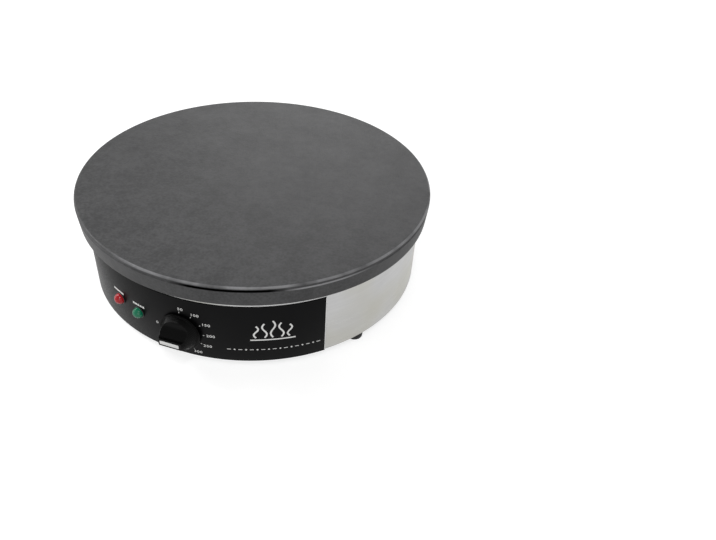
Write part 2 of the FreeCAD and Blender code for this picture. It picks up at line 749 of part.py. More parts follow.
def thermostat_knob():
    """Tapered knob with a grip bar between two finger scoops, hollow behind."""
    back = knob_back_r()
    edge = KNOB_EDGE_R
    front_r = knob_body_r(KNOB_DEPTH)
    knob = turned_outward([
        (0, 0),
        (KNOB_R, 0),
        (KNOB_R, KNOB_FLANGE_T - edge),
        ((KNOB_R - edge * 0.3, KNOB_FLANGE_T - edge * 0.3), (KNOB_R - edge, KNOB_FLANGE_T)),
        (knob_body_r(KNOB_FLANGE_T), KNOB_FLANGE_T),
        (knob_body_r(KNOB_DEPTH - edge), KNOB_DEPTH - edge),
        (front_r - edge / 2, KNOB_DEPTH),
        (0, KNOB_DEPTH),
    ], back, knob_z)
    hollow = turned_outward([
        (KNOB_HUB_R, 0),
        (knob_body_r(0) - KNOB_WALL, 0),
        (knob_body_r(KNOB_HOLLOW) - KNOB_WALL, KNOB_HOLLOW),
        (KNOB_HUB_R, KNOB_HOLLOW),
    ], back, knob_z)
    front_y = -back - KNOB_DEPTH
    floor_y = front_y + SCOOP_R
    cutters = [hollow, rod(KNOB_HUB_R + SEAT, -back - KNOB_HUB_BACK, -back + 1, 0, knob_z)]
    for side in (-1, 1):
        z_mid = knob_z + side * (GRIP_T / 2 + SCOOP_R)
        scoop = Part.makeCylinder(SCOOP_R, 2 * KNOB_R, V(-KNOB_R, front_y, z_mid), V(1, 0, 0))
        z_far = knob_z + side * 2 * KNOB_R
        beyond = block(-KNOB_R, KNOB_R, front_y - 1, floor_y, min(z_mid, z_far), max(z_mid, z_far))
        cutters += [scoop, beyond]
    bore_y0 = -back - SHAFT_IN_KNOB - SEAT
    bore = rod(SHAFT_R + RUN_FIT, bore_y0, -back, 0, knob_z)
    flat_z = knob_z + SHAFT_FLAT + RUN_FIT
    bore = bore.cut(block(-2 * SHAFT_R, 2 * SHAFT_R, bore_y0, -back, flat_z, knob_z + 2 * SHAFT_R))
    cutters += [bore, inlay_block(SLIDE_FIT / 2, SEAT / 2)]
    return knob.cut(cutters)


def inlay_block(side_gap, floor_gap):
    """Block of the white inlay, grown by its gaps."""
    front_y = -knob_back_r() - KNOB_DEPTH
    half_l = INLAY_L / 2 + side_gap
    half_w = INLAY_W / 2 + side_gap
    x0 = -INLAY_SHIFT - half_l
    x1 = -INLAY_SHIFT + half_l
    return block(x0, x1, front_y, front_y + INLAY_T + floor_gap, knob_z - half_w, knob_z + half_w)


def knob_pointer_inlay():
    """White strip let into the grip bar."""
    return inlay_block(0, 0)


def lamp_lens(azimuth, up):
    """Domed lens with a spigot in the lamp's bore."""
    z = drum_z0 + up
    base_r = panel_r + SEAT + BEZEL_T
    shoulder = LENS_H / 4
    centre = (LENS_H ** 2 - LENS_R ** 2 - shoulder ** 2) / (2 * (LENS_H - shoulder))
    dome_r = LENS_H - centre
    half_turn = atan2(LENS_R, shoulder - centre) / 2
    dome_mid = (dome_r * sin(half_turn), centre + dome_r * cos(half_turn))
    lens = turned_outward([
        (0, -LENS_SPIGOT_L),
        (LENS_SPIGOT_R, -LENS_SPIGOT_L),
        (LENS_SPIGOT_R, SEAT / 2),
        (LENS_R, SEAT / 2),
        (LENS_R, shoulder),
        (dome_mid, (0, LENS_H)),
    ], base_r, z)
    return turned_to(lens, azimuth)


def lamp_body(azimuth, up):
    """Bezel and barrel of a pilot lamp, bored for its lens."""
    z = drum_z0 + up
    bezel_y1 = -panel_r - SEAT
    bezel = rod(BEZEL_R, bezel_y1 - BEZEL_T, bezel_y1, 0, z)
    barrel = rod(LAMP_BARREL_R, bezel_y1 - BEZEL_T, bezel_y1 + LAMP_BARREL_L, 0, z)
    bore = rod(LAMP_BORE_R, bezel_y1 - BEZEL_T - 1, bezel_y1 - BEZEL_T + LAMP_BORE_L, 0, z)
    return turned_to(joined([bezel, barrel]).cut(bore), azimuth)


def lamp_nut(azimuth, up):
    """Hexagon nut behind the drum's wall."""
    z = drum_z0 + up
    half = LAMP_NUT_AF / sqrt(3)
    y0 = -sqrt(wall_r ** 2 - half ** 2) + SEAT / 2
    nut = hexagon(LAMP_NUT_AF, 0, LAMP_NUT_H)
    nut.rotate(V(0, 0, 0), V(1, 0, 0), -90)
    nut.translate(V(0, y0, z))
    bore = rod(LAMP_BARREL_R + THREAD_FIT, y0 - 1, y0 + LAMP_NUT_H + 1, 0, z)
    return turned_to(nut.cut(bore), azimuth)


def lamp_tabs(azimuth, up):
    """Two small tabs at the back of a lamp."""
    y0 = -panel_r - SEAT + LAMP_BARREL_L
    tabs = []
    for side in (-1, 1):
        x = side * LAMP_BARREL_R / 2
        z = drum_z0 + up
        tabs.append(block(x - TAB_T / 2, x + TAB_T / 2, y0, y0 + TAB_L, z - TAB_W / 4, z + TAB_W / 4))
    return [turned_to(tab, azimuth) for tab in tabs]


def both_lamps(make):
    """The same piece on both lamps."""
    pieces = []
    for azimuth, up in ((RED_AZ, RED_UP), (GREEN_AZ, GREEN_UP)):
        made = make(azimuth, up)
        pieces += made if isinstance(made, list) else [made]
    return group(pieces)


def sensing_bulb():
    """Bulb of the thermostat, lying against the plate."""
    bulb = Part.makeCylinder(BULB_R, BULB_L, V(-BULB_L / 2, -stud_circle_r, bulb_z()), V(1, 0, 0))
    return bulb.makeChamfer(BULB_R / 2, [e for e in bulb.Edges if e.Closed and e.CenterOfMass.x < 0])


def bulb_saddle():
    """Pressed saddle that holds the bulb up."""
    half_l = SADDLE_L / 2
    half_w = SADDLE_W / 2
    y = -stud_circle_r
    z0 = clamp_z1
    body = block(-half_l, half_l, y - half_w, y + half_w, z0 + SEAT, bulb_z() - BULB_R + SADDLE_GRIP)
    groove = Part.makeCylinder(BULB_R + SEAT, SADDLE_L, V(-half_l, y, bulb_z()), V(1, 0, 0))
    return body.cut(groove)


def capillary_tube():
    """Copper capillary from the bulb to the thermostat."""
    return swept(rounded_route(capillary_points()), CAPILLARY_R)


def cutout_screws():
    """Places of the cut-out's two screws."""
    half = CUTOUT_EAR_SPAN / 2
    return [V(-half, CUTOUT_Y, 0), V(half, CUTOUT_Y, 0)]


def thermal_cutout():
    """Bimetal disc cut-out with mounting ears."""
    z1 = shield_z0 - SEAT
    place = V(0, CUTOUT_Y, 0)
    body = post(CUTOUT_R, z1 - CUTOUT_CAP_H - CUTOUT_BODY_H, z1, place)
    half = CUTOUT_EAR_SPAN / 2 + CUTOUT_EAR_W / 2
    half_w = CUTOUT_EAR_W / 2
    ear = block(-half, half, CUTOUT_Y - half_w, CUTOUT_Y + half_w, z1 - CUTOUT_EAR_T, z1)
    whole = joined([body, ear])
    holes = [post(SMALL_SCREW_R + SCREW_CLEAR, z1 - CUTOUT_EAR_T - 1, z1 + 1, p) for p in cutout_screws()]
    return whole.cut(holes)


def thermal_cutout_tabs():
    """Flat tabs under the cut-out."""
    z1 = shield_z0 - SEAT - CUTOUT_CAP_H - CUTOUT_BODY_H
    tabs = []
    for side in (-1, 1):
        x = side * CUTOUT_R / 2
        half = TAB_W / 2
        tabs.append(block(x - TAB_T / 2, x + TAB_T / 2, CUTOUT_Y - half, CUTOUT_Y + half, z1 - TAB_L, z1))
    return group(tabs)


def thermal_cutout_screws():
    """Two screws through the ears and the heat shield."""
    z1 = shield_z0 - SEAT - CUTOUT_EAR_T - SEAT
    screws = []
    for place in cutout_screws():
        head = post(SMALL_HEAD_R, z1 - SMALL_HEAD_H, z1, place)
        screws.append(joined([head, post(SMALL_SCREW_R, z1 - 1, shield_z1 + 1, place)]))
    return group(screws)


def base_cover():
    """Round sheet cover with two rings of vent slots."""
    cover = post(cover_r, FOOT_H, drum_z0 - SEAT)
    cutters = [post(SCREW_R + SCREW_CLEAR, FOOT_H, drum_z0, spot(screw_circle_r, az)) for az in COVER_SCREW_AZ]
    cutters += [post(EARTH_R + SCREW_CLEAR, FOOT_H, drum_z0, spot(foot_circle_r, az)) for az in FOOT_AZ]
    for ring_r in VENT_RINGS:
        for i in range(VENT_COUNT):
            az = 360 * (i + 0.5) / VENT_COUNT
            ends = [spot(ring_r - VENT_L / 2, az), spot(ring_r + VENT_L / 2, az)]
            cutters.append(slot(ends[0], ends[1], VENT_R, FOOT_H, drum_z0))
    return cover.cut(cutters)


def base_screws():
    """Pan-head screws that hold the base cover."""
    screws = []
    for az in COVER_SCREW_AZ:
        place = spot(screw_circle_r, az)
        head = post(SCREW_HEAD_R, FOOT_H - SEAT - SCREW_HEAD_H, FOOT_H - SEAT, place)
        screws.append(joined([head, post(SCREW_R, FOOT_H - 1, drum_z0 + SHEET_T + 1, place)]))
    return group(screws)


def rubber_feet():
    """Three tapered feet, bored from below for their screws."""
    feet = []
    for az in FOOT_AZ:
        place = spot(foot_circle_r, az)
        foot = Part.makeCone(FOOT_R - FOOT_TAPER, FOOT_R, FOOT_H - SEAT / 2, V(place.x, place.y, 0))
        well = post(EARTH_NUT_AF / 2 + PASS_CLEAR, 0, FOOT_H / 2, place)
        feet.append(foot.cut([well, post(EARTH_R + SCREW_CLEAR, 0, FOOT_H, place)]))
    return group(feet)


def foot_screws():
    """Screws up through the feet, heads sunk in the rubber."""
    z1 = FOOT_H / 2 - SEAT / 2
    screws = []
    for az in FOOT_AZ:
        place = spot(foot_circle_r, az)
        head = post(EARTH_NUT_AF / 2, z1 - SCREW_HEAD_H, z1, place)
        shank_z1 = drum_z0 + SHEET_T + EARTH_NUT_H + 1
        screws.append(joined([head, post(EARTH_R, z1 - 1, shank_z1, place)]))
    return group(screws)


def foot_nuts():
    """Nuts of the feet, on the drum's flange."""
    z1 = drum_z0 + SHEET_T + SEAT / 2 + EARTH_NUT_H
    places = [spot(foot_circle_r, az) for az in FOOT_AZ]
    return nuts_under(z1, EARTH_NUT_AF, EARTH_NUT_H, EARTH_R + THREAD_FIT, places)


def hex_outward(across_flats, d0, d1):
    """Hexagonal prism standing out of the drum's back."""
    prism = hexagon(across_flats, 0, d1 - d0)
    prism.rotate(V(0, 0, 0), V(1, 0, 0), 90)
    prism.translate(V(0, -drum_r - d0, gland_z))
    return prism


def gland_body():
    """Gland body: stem through the wall, hexagon, and thread for the cap."""
    inner_d = -SHEET_T - GLAND_STEM_L
    outer_d = GLAND_HEX_T + GLAND_THREAD_L
    stem = turned_outward([(0, inner_d), (GLAND_STEM_R, inner_d), (GLAND_STEM_R, 1), (0, 1)], drum_r, gland_z)
    tail = [(0, 1), (GLAND_THREAD_R, 1), (GLAND_THREAD_R, outer_d), (0, outer_d)]
    whole = joined([stem, hex_outward(GLAND_HEX_AF, SEAT, GLAND_HEX_T), turned_outward(tail, drum_r, gland_z)])
    bore = rod(CABLE_HOLE_R + 2 * SCREW_CLEAR, -drum_r - outer_d - 1, -drum_r - inner_d + 1, 0, gland_z)
    seat_r = CABLE_HOLE_R + GLAND_SEAL_WALL + SLIDE_FIT
    seat = rod(seat_r, -drum_r - outer_d - 1, -drum_r - GLAND_HEX_T, 0, gland_z)
    return turned_to(whole.cut([bore, seat]), 180)


def gland_seal():
    """Rubber sleeve that grips the cable."""
    y0 = -drum_r - GLAND_HEX_T - GLAND_THREAD_L
    y1 = -drum_r - GLAND_HEX_T - SEAT / 2
    sleeve = rod(CABLE_HOLE_R + GLAND_SEAL_WALL, y0, y1, 0, gland_z)
    return turned_to(sleeve.cut(rod(CABLE_HOLE_R, y0, y1, 0, gland_z)), 180)


def gland_cap():
    """Domed cap nut over the gland's thread."""
    d0 = GLAND_HEX_T + SEAT
    d1 = d0 + GLAND_CAP_L
    seal_d = GLAND_HEX_T + GLAND_THREAD_L + SEAT
    nose_r = GLAND_CAP_R - GLAND_CAP_WALL
    mouth_r = CABLE_HOLE_R + PASS_CLEAR
    dome_mid = (GLAND_CAP_R - GLAND_CAP_WALL * 0.3, d1 - GLAND_CAP_WALL)
    cap = turned_outward([
        (mouth_r, d0),
        (GLAND_CAP_R, d0),
        (GLAND_CAP_R, d1 - 2 * GLAND_CAP_WALL),
        (dome_mid, (nose_r, d1)),
        (mouth_r, d1),
    ], drum_r, gland_z)
    thread = rod(GLAND_THREAD_R + THREAD_FIT, -drum_r - seal_d, -drum_r - d0 + 1, 0, gland_z)
    return turned_to(cap.cut(thread), 180)


def gland_locknut():
    """Locknut on the stem inside the drum."""
    half = GLAND_HEX_AF / sqrt(3)
    y0 = -sqrt(wall_r ** 2 - half ** 2) + SEAT / 2
    d0 = -drum_r - y0
    nut = hex_outward(GLAND_HEX_AF, d0 - LOCKNUT_H, d0)
    bore = rod(GLAND_STEM_R + THREAD_FIT, y0 - 1, y0 + LOCKNUT_H + 1, 0, gland_z)
    return turned_to(nut.cut(bore), 180)


def shelf_cuts():
    """Places on the terminal shelf, at azimuth 0: block screws, then the earth stud."""
    y = block_y0() + BLOCK_D / 2
    screws = [V(side * POLE_PITCH / 2, y, 0) for side in (-1, 1)]
    stud = spot(wall_r - EARTH_BACK, SHELF_HALF_AZ + SHELF_EXTRA_AZ / 2)
    return screws, stud


def block_y0():
    """Outer face of the terminal block at azimuth 0."""
    return -wall_r + BLOCK_BACK


def terminal_shelf():
    """Angle shelf on the drum's inner wall for the terminals."""
    az1 = SHELF_HALF_AZ + SHELF_EXTRA_AZ
    z0 = shelf_z1 - SHELF_T
    leaf = sector(wall_r - SEAT, wall_r - SHELF_T, z0, z0 + SHELF_LEAF_H, -SHELF_HALF_AZ, az1)
    shelf = sector(wall_r - SHELF_T, wall_r - SHELF_DEEP, z0, shelf_z1, -SHELF_HALF_AZ, az1)
    screws, stud = shelf_cuts()
    cutters = [post(SMALL_SCREW_R + SCREW_CLEAR, z0, shelf_z1, p) for p in screws]
    cutters.append(post(EARTH_R + SCREW_CLEAR, z0, shelf_z1, stud))
    return turned_to(joined([leaf, shelf]).cut(cutters), SHELF_AZ)


def pole_x():
    """Places of the block's poles along it."""
    return [(i - (POLE_COUNT - 1) / 2) * POLE_PITCH for i in range(POLE_COUNT)]


def pole_z():
    """Axis height of the poles."""
    return shelf_z1 + SEAT + BLOCK_H / 2


def pole_screws():
    """Places of the clamp screws, two to a pole."""
    y = block_y0() + BLOCK_D / 2
    return [V(x, y + side * POLE_SCREW_SPAN / 2, 0) for x in pole_x() for side in (-1, 1)]


def terminal_block():
    """Ceramic three-pole block."""
    z0 = shelf_z1 + SEAT
    y0 = block_y0()
    body = block(-BLOCK_L / 2, BLOCK_L / 2, y0, y0 + BLOCK_D, z0, z0 + BLOCK_H)
    cutters = [rod(POLE_R + SEAT, y0, y0 + BLOCK_D, x, pole_z()) for x in pole_x()]
    cutters += [post(POLE_WELL_R, pole_z(), z0 + BLOCK_H, p) for p in pole_screws()]
    screws, _ = shelf_cuts()
    cutters += [post(SMALL_SCREW_R + SCREW_CLEAR, z0, z0 + BLOCK_H, p) for p in screws]
    return turned_to(body.cut(cutters), SHELF_AZ)


def terminal_inserts():
    """Brass tubes in the block."""
    y0 = block_y0()
    tubes = []
    for x in pole_x():
        tube = rod(POLE_R, y0, y0 + BLOCK_D, x, pole_z())
        tube = tube.cut(rod(POLE_BORE_R, y0, y0 + BLOCK_D, x, pole_z()))
        wells = [post(POLE_SCREW_R + THREAD_FIT, pole_z(), pole_z() + POLE_R + 1, p)
                 for p in pole_screws() if abs(p.x - x) < POLE_R]
        tubes.append(tube.cut(wells))
    return turned_to(group(tubes), SHELF_AZ)


def terminal_clamp_screws():
    """Grub screws over the brass tubes."""
    z0 = pole_z() + POLE_BORE_R
    z1 = shelf_z1 + SEAT + BLOCK_H - 1
    return turned_to(group([post(POLE_SCREW_R, z0, z1, p) for p in pole_screws()]), SHELF_AZ)


def terminal_block_screws():
    """Two long screws that hold the block down."""
    z1 = shelf_z1 + SEAT + BLOCK_H + SEAT
    z0 = shelf_z1 - SHELF_T - 1
    places, _ = shelf_cuts()
    screws = []
    for place in places:
        head = post(SMALL_HEAD_R, z1, z1 + SMALL_HEAD_H, place)
        screws.append(joined([head, post(SMALL_SCREW_R, z0, z1 + 1, place)]))
    return turned_to(group(screws), SHELF_AZ)


def earth_stud():
    """Threaded stud on the shelf."""
    _, stud = shelf_cuts()
    z0 = shelf_z1 - SHELF_T - EARTH_NUT_H - 1
    return turned_to(post(EARTH_R, z0, z0 + EARTH_L, stud), SHELF_AZ)


def earth_nuts():
    """Nuts over and under the shelf."""
    _, stud = shelf_cuts()
    bore_r = EARTH_R + THREAD_FIT
    low = nuts_under(shelf_z1 - SHELF_T - SEAT, EARTH_NUT_AF, EARTH_NUT_H, bore_r, [stud])
    high = nuts_under(shelf_z1 + SEAT + EARTH_NUT_H, EARTH_NUT_AF, EARTH_NUT_H, bore_r, [stud])
    return turned_to(group([low, high]), SHELF_AZ)


def nodes():
    """Every piece under its name."""
    return {
        "griddle_plate": griddle_plate(),
        "drum_shell": drum_shell(),
        "control_panel": control_panel(),
        "thermostat_knob": thermostat_knob(),
        "knob_pointer_inlay": knob_pointer_inlay(),
        "thermostat_shaft": thermostat_shaft(),
        "thermostat_mount": thermostat_mount(),
        "thermostat_housing": thermostat_housing(),
        "thermostat_terminals": thermostat_terminals(),
        "thermostat_screws": thermostat_screws(),
        "capillary_tube": capillary_tube(),
        "sensing_bulb": sensing_bulb(),
        "bulb_saddle": bulb_saddle(),
        "red_lamp_lens": lamp_lens(RED_AZ, RED_UP),
        "green_lamp_lens": lamp_lens(GREEN_AZ, GREEN_UP),
        "red_lamp_body": lamp_body(RED_AZ, RED_UP),
        "green_lamp_body": lamp_body(GREEN_AZ, GREEN_UP),
        "lamp_nuts": both_lamps(lamp_nut),
        "lamp_terminals": both_lamps(lamp_tabs),
        "outer_heating_element": heating_element(outer_ring_r),
        "inner_heating_element": heating_element(inner_ring_r),
        "element_end_seals": element_end_seals(),
        "element_terminals": element_terminals(),
        "element_clamp_plate": element_clamp_plate(),
        "clamp_studs": clamp_studs(),
        "clamp_nuts": clamp_nuts(),
        "insulation_disc": insulation_disc(),
        "heat_shield": heat_shield(),
        "shield_nuts": shield_nuts(),
        "plate_brackets": plate_brackets(),
        "plate_bolts": plate_bolts(),
        "thermal_cutout": thermal_cutout(),
        "thermal_cutout_tabs": thermal_cutout_tabs(),
        "thermal_cutout_screws": thermal_cutout_screws(),
        "base_cover": base_cover(),
        "base_screws": base_screws(),
        "rubber_feet": rubber_feet(),
        "foot_screws": foot_screws(),
        "foot_nuts": foot_nuts(),
        "gland_body": gland_body(),
        "gland_seal": gland_seal(),
        "gland_cap": gland_cap(),
        "gland_locknut": gland_locknut(),
        "terminal_shelf": terminal_shelf(),
        "terminal_block": terminal_block(),
        "terminal_inserts": terminal_inserts(),
        "terminal_clamp_screws": terminal_clamp_screws(),
        "terminal_block_screws": terminal_block_screws(),
        "earth_stud": earth_stud(),
        "earth_nuts": earth_nuts(),
    }


def write_parts():
    """One STEP file to a node."""
    os.makedirs("parts", exist_ok=True)
    for name, shape in nodes().items():
        box = shape.BoundBox
        if not shape.isValid():
            raise ValueError("not a valid solid: " + name)
        shape.exportStep("parts/" + name + ".step")
        print(name, len(shape.Solids), "solids", round(shape.Volume / 1000, 2), "cm3",
              [round(v, 2) for v in (box.XMin, box.XMax, box.YMin, box.YMax, box.ZMin, box.ZMax)])


write_parts()
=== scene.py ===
"""Electric crepe maker: a cast griddle plate on a round stainless drum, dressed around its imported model."""

import json
from math import atan2, cos, pi, radians, sin

import bmesh
import bpy
import numpy as np
from mathutils import Matrix, Vector


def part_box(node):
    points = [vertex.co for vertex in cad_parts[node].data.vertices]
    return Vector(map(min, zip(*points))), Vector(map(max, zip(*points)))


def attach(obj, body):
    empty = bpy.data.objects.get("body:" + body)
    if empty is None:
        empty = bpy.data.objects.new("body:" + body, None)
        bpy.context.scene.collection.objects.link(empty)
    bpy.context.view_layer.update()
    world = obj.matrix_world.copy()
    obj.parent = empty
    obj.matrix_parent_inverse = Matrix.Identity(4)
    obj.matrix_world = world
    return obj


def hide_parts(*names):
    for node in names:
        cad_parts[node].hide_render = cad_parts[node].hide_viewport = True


bl_info = {
    "name": "Electric crepe maker",
    "version": (1, 0, 0),
    "blender": (4, 5, 0),
    "location": "View3D > Sidebar > Crepe maker",
    "description": "Builds the finished surfaces of an electric crepe maker and its studio",
    "category": "Add Mesh",
}

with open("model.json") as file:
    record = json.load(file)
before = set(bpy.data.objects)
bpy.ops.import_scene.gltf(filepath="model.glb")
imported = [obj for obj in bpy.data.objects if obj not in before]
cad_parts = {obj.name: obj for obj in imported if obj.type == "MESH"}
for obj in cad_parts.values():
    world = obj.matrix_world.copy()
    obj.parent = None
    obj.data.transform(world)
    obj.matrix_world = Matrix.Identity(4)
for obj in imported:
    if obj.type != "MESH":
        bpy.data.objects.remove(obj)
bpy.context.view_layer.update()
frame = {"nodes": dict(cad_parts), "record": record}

MM = 0.001
FIXED = "drum"        # the body that stands on the worktop
TURNING = "knob"      # the body that turns with the thermostat's shaft
ROUND = 256           # steps round the plate and the drum
BOSS_AZIMUTHS = (30, 150, 270)         # degrees, from the front towards +X
FOOT_AZIMUTHS = (59.5, 180, 300.5)
SOFTNESS = 0.55       # how quickly the finer octaves of a noise fade


def span(node):
    """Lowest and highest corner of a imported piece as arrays, in metres."""
    low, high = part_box(node)
    return np.array(low), np.array(high)


PLATE_LOW, PLATE_HIGH = span("griddle_plate")
DRUM_LOW, DRUM_HIGH = span("drum_shell")
PANEL_LOW, PANEL_HIGH = span("control_panel")
KNOB_LOW, KNOB_HIGH = span("thermostat_knob")
INLAY_LOW, INLAY_HIGH = span("knob_pointer_inlay")
SHAFT_LOW, SHAFT_HIGH = span("thermostat_shaft")
CAP_LOW, CAP_HIGH = span("gland_cap")
COVER_LOW = span("base_cover")[0]

PLATE_R = 200.0 * MM
DRUM_R = 190.0 * MM
PANEL_R = -PANEL_LOW[1]
KNOB_Z = (SHAFT_LOW[2] + SHAFT_HIGH[2]) / 2
KNOB_BACK = -KNOB_HIGH[1]                          # distance of the knob's back from the drum's axis
GLAND_Z = (CAP_LOW[2] + CAP_HIGH[2]) / 2
UNDER_Z = span("sensing_bulb")[1][2] + 0.1 * MM    # underside of the plate's slab, a hair over the bulb


def azimuth_of(node):
    """Azimuth of a small piece on the drum, from the front towards +X, in radians."""
    low, high = span(node)
    middle = (low + high) / 2
    return atan2(middle[0], -middle[1])


def linear(hex_colour):
    """An sRGB hex colour as linear red, green, blue and alpha."""
    parts = [int(hex_colour[i:i + 2], 16) / 255 for i in (1, 3, 5)]
    curve = [c / 12.92 if c <= 0.04045 else ((c + 0.055) / 1.055) ** 2.4 for c in parts]
    return (*curve, 1.0)


def length(label, text, millimetres):
    """A length property: its default is given in millimetres and kept in metres."""
    return bpy.props.FloatProperty(
        name=label, description=text, default=millimetres * MM, min=0, unit="LENGTH", precision=5)


def colour(label, text, hex_colour):
    """A colour property."""
    return bpy.props.FloatVectorProperty(
        name=label, description=text, default=linear(hex_colour), size=4, min=0, max=1, subtype="COLOR")


class CrepeSizes(bpy.types.PropertyGroup):
    """Sizes of the finished surfaces."""

    plate_edge: length("Plate edge", "Rounding of the plate's top edge", 2.6)
    plate_groove: length("Plate groove", "Depth of the turned groove under the top edge", 1.0)
    rim_wall: length("Rim wall", "Thickness of the plate's hanging rim", 5.5)
    boss_radius: length("Boss radius", "Bosses under the plate", 9.0)
    boss_height: length("Boss height", "Bosses under the plate", 9.0)
    boss_circle: length("Boss circle", "Radius on which the bosses stand", 176.0)
    sheet: length("Sheet", "Thickness of the drum's sheet", 1.0)
    flange: length("Flange", "Lower flange of the drum, folded inwards", 13.0)
    lip: length("Lip", "Upper lip of the drum, folded inwards", 3.5)
    fold: length("Fold", "Outer radius of the folded edges", 1.4)
    lap: length("Lap", "Step where the drum's sheet laps over itself at the back", 0.45)
    bare_edge: length("Bare edge", "Unprinted strip down the panel's right end", 1.0)
    knob_radius: length("Knob radius", "Radius of the knob's flange", 22.5)
    knob_flange: length("Knob flange", "Thickness of the knob's flange", 2.4)
    knob_step: length("Knob step", "The flange stands out past the body by this much", 1.7)
    knob_taper: length("Knob taper", "The body is this much smaller at its front", 7.6)
    knob_ribs: bpy.props.IntProperty(name="Knob ribs", description="Fine ribs round the knob's wall", default=60)
    rib_depth: length("Rib depth", "Depth between the knob's ribs", 0.3)
    grip: length("Grip", "Thickness of the grip bar", 8.6)
    scoop: length("Scoop", "Radius of the finger scoops", 13.0)
    knob_round: length("Knob rounding", "Softness of the knob's edges", 0.7)
    inlay_proud: length("Inlay height", "The white strip stands out of the grip bar by this much", 0.25)
    hub_radius: length("Hub radius", "Hub inside the knob", 7.0)
    hollow: length("Hollow", "Depth of the hollow behind the knob", 7.0)
    lens_radius: length("Lens radius", "Radius of a lamp's lens", 5.9)
    lens_height: length("Lens height", "How far a lens stands out of its bezel", 6.6)
    lens_ripple: length("Lens ripple", "Height of the moulded rings in a lens", 0.05)
    bezel_radius: length("Bezel radius", "Radius of a lamp's bezel", 6.7)
    bezel_height: length("Bezel height", "Thickness of a lamp's bezel", 0.8)
    digit_height: length("Digit height", "Height of the numbers round the knob", 3.2)
    digit_circle: length("Digit circle", "Radius on which the numbers stand", 30.0)
    ink: length("Ink", "How far the print stands out of the panel", 0.05)
    foot_radius: length("Foot radius", "Radius of a foot under the cover", 10.0)
    foot_taper: length("Foot taper", "A foot is this much smaller at the floor", 1.0)
    foot_well: length("Foot well", "Radius of the recess for a foot's screw", 5.0)


class CrepeColours(bpy.types.PropertyGroup):
    """Colours of the finishes."""

    plate: colour("Plate", "Seasoned cast iron", "#454546")
    plate_dark: colour("Plate dark", "Darker grain of the cast iron", "#2B2B2C")
    # Painted highlight: the paler colour painted on the plate's top edge and lip
    plate_painted_highlight: colour("Plate painted highlight", "Top edge and lip of the cast iron, painted paler as a highlight", "#8E8E90")
    steel: colour("Steel", "Brushed stainless sheet", "#D4D4D4")
    steel_warm: colour("Warm steel", "Warmer patches of the stainless sheet", "#C3C1B4")
    panel: colour("Panel", "Black printed panel", "#09090A")
    knob: colour("Knob", "Black phenolic moulding", "#050505")
    ink: colour("Ink", "White screen print", "#F4F4F2")
    inlay: colour("Inlay", "White strip in the grip bar", "#F0F0EE")
    red: colour("Red lens", "Red pilot lamp", "#B50E1C")
    green: colour("Green lens", "Green pilot lamp", "#047C58")
    rubber: colour("Rubber", "Black moulded rubber", "#161616")
    floor: colour("Floor", "Studio floor and backdrop", "#FFFFFF")


def grid_faces(rows, columns, wrap_rows=False, wrap_columns=False):
    """Quads between neighbouring points of a grid, numbered row by row."""
    r = np.arange(rows if wrap_rows else rows - 1)
    c = np.arange(columns if wrap_columns else columns - 1)
    r, c = np.meshgrid(r, c, indexing="ij")
    r2, c2 = (r + 1) % rows, (c + 1) % columns
    quads = np.stack([r * columns + c, r * columns + c2, r2 * columns + c2, r2 * columns + c], axis=-1)
    return quads.reshape(-1, 4)


def join(parts):
    """One list of points and faces from several (points, faces) pairs."""
    counts = np.cumsum([0] + [len(points) for points, _ in parts[:-1]])
    points = np.concatenate([points for points, _ in parts])
    faces = np.concatenate([faces + start for (_, faces), start in zip(parts, counts)])
    return points, faces


def build(name, parts, body, finish, replaced=(), sharp=38.0, uv=None):
    """A finished piece at the origin from (points, faces) pairs, with its doubles merged and faces outwards. Where it
    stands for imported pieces, its finish is also the name of their material slot."""
    points, faces = join(parts)
    mesh = bpy.data.meshes.new(name)
    mesh.vertices.add(len(points))
    mesh.vertices.foreach_set("co", points.astype(np.float32).ravel())
    mesh.loops.add(faces.size)
    mesh.loops.foreach_set("vertex_index", faces.astype(np.int32).ravel())
    mesh.polygons.add(len(faces))
    mesh.polygons.foreach_set("loop_start", np.arange(0, faces.size, faces.shape[1], dtype=np.int32))
    mesh.update(calc_edges=True)
    if uv is not None:
        layer = mesh.uv_layers.new(name="sheet")
        layer.data.foreach_set("uv", uv[faces.ravel()].astype(np.float32).ravel())
    tidy = bmesh.new()
    tidy.from_mesh(mesh)
    bmesh.ops.remove_doubles(tidy, verts=tidy.verts, dist=1e-7)
    bmesh.ops.dissolve_degenerate(tidy, edges=tidy.edges, dist=1e-7)
    bmesh.ops.recalc_face_normals(tidy, faces=tidy.faces)
    tidy.to_mesh(mesh)
    tidy.free()
    mesh.polygons.foreach_set("use_smooth", np.ones(len(mesh.polygons), dtype=bool))
    mesh.set_sharp_from_angle(angle=radians(sharp))
    piece = bpy.data.objects.new(name, mesh)
    bpy.context.scene.collection.objects.link(piece)
    mesh.materials.append(material_for(finish))
    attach(piece, body)
    if replaced:
        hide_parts(*replaced)
    return piece


def rounded_outline(corners, radii, steps=6):
    """Closed outline whose corners are arcs: each arc touches its two sides at radius / tan(half angle)."""
    corners = np.asarray(corners, float)
    arcs = []
    for i, radius in enumerate(radii):
        corner = corners[i]
        if radius <= 0:
            arcs.append(corner[None, :])
            continue
        before = corners[i - 1] - corner
        after = corners[(i + 1) % len(corners)] - corner
        before /= np.linalg.norm(before)
        after /= np.linalg.norm(after)
        half = np.arccos(np.clip(before @ after, -1, 1)) / 2
        middle = (before + after) / np.linalg.norm(before + after)
        centre = corner + middle * radius / np.sin(half)
        first = corner + before * radius / np.tan(half) - centre
        last = corner + after * radius / np.tan(half) - centre
        share = np.linspace(0, 1, steps)[:, None]
        swing = pi - 2 * half
        arc = (np.sin((1 - share) * swing) * first + np.sin(share * swing) * last) / np.sin(swing)
        arcs.append(centre + arc)
    return np.concatenate(arcs)


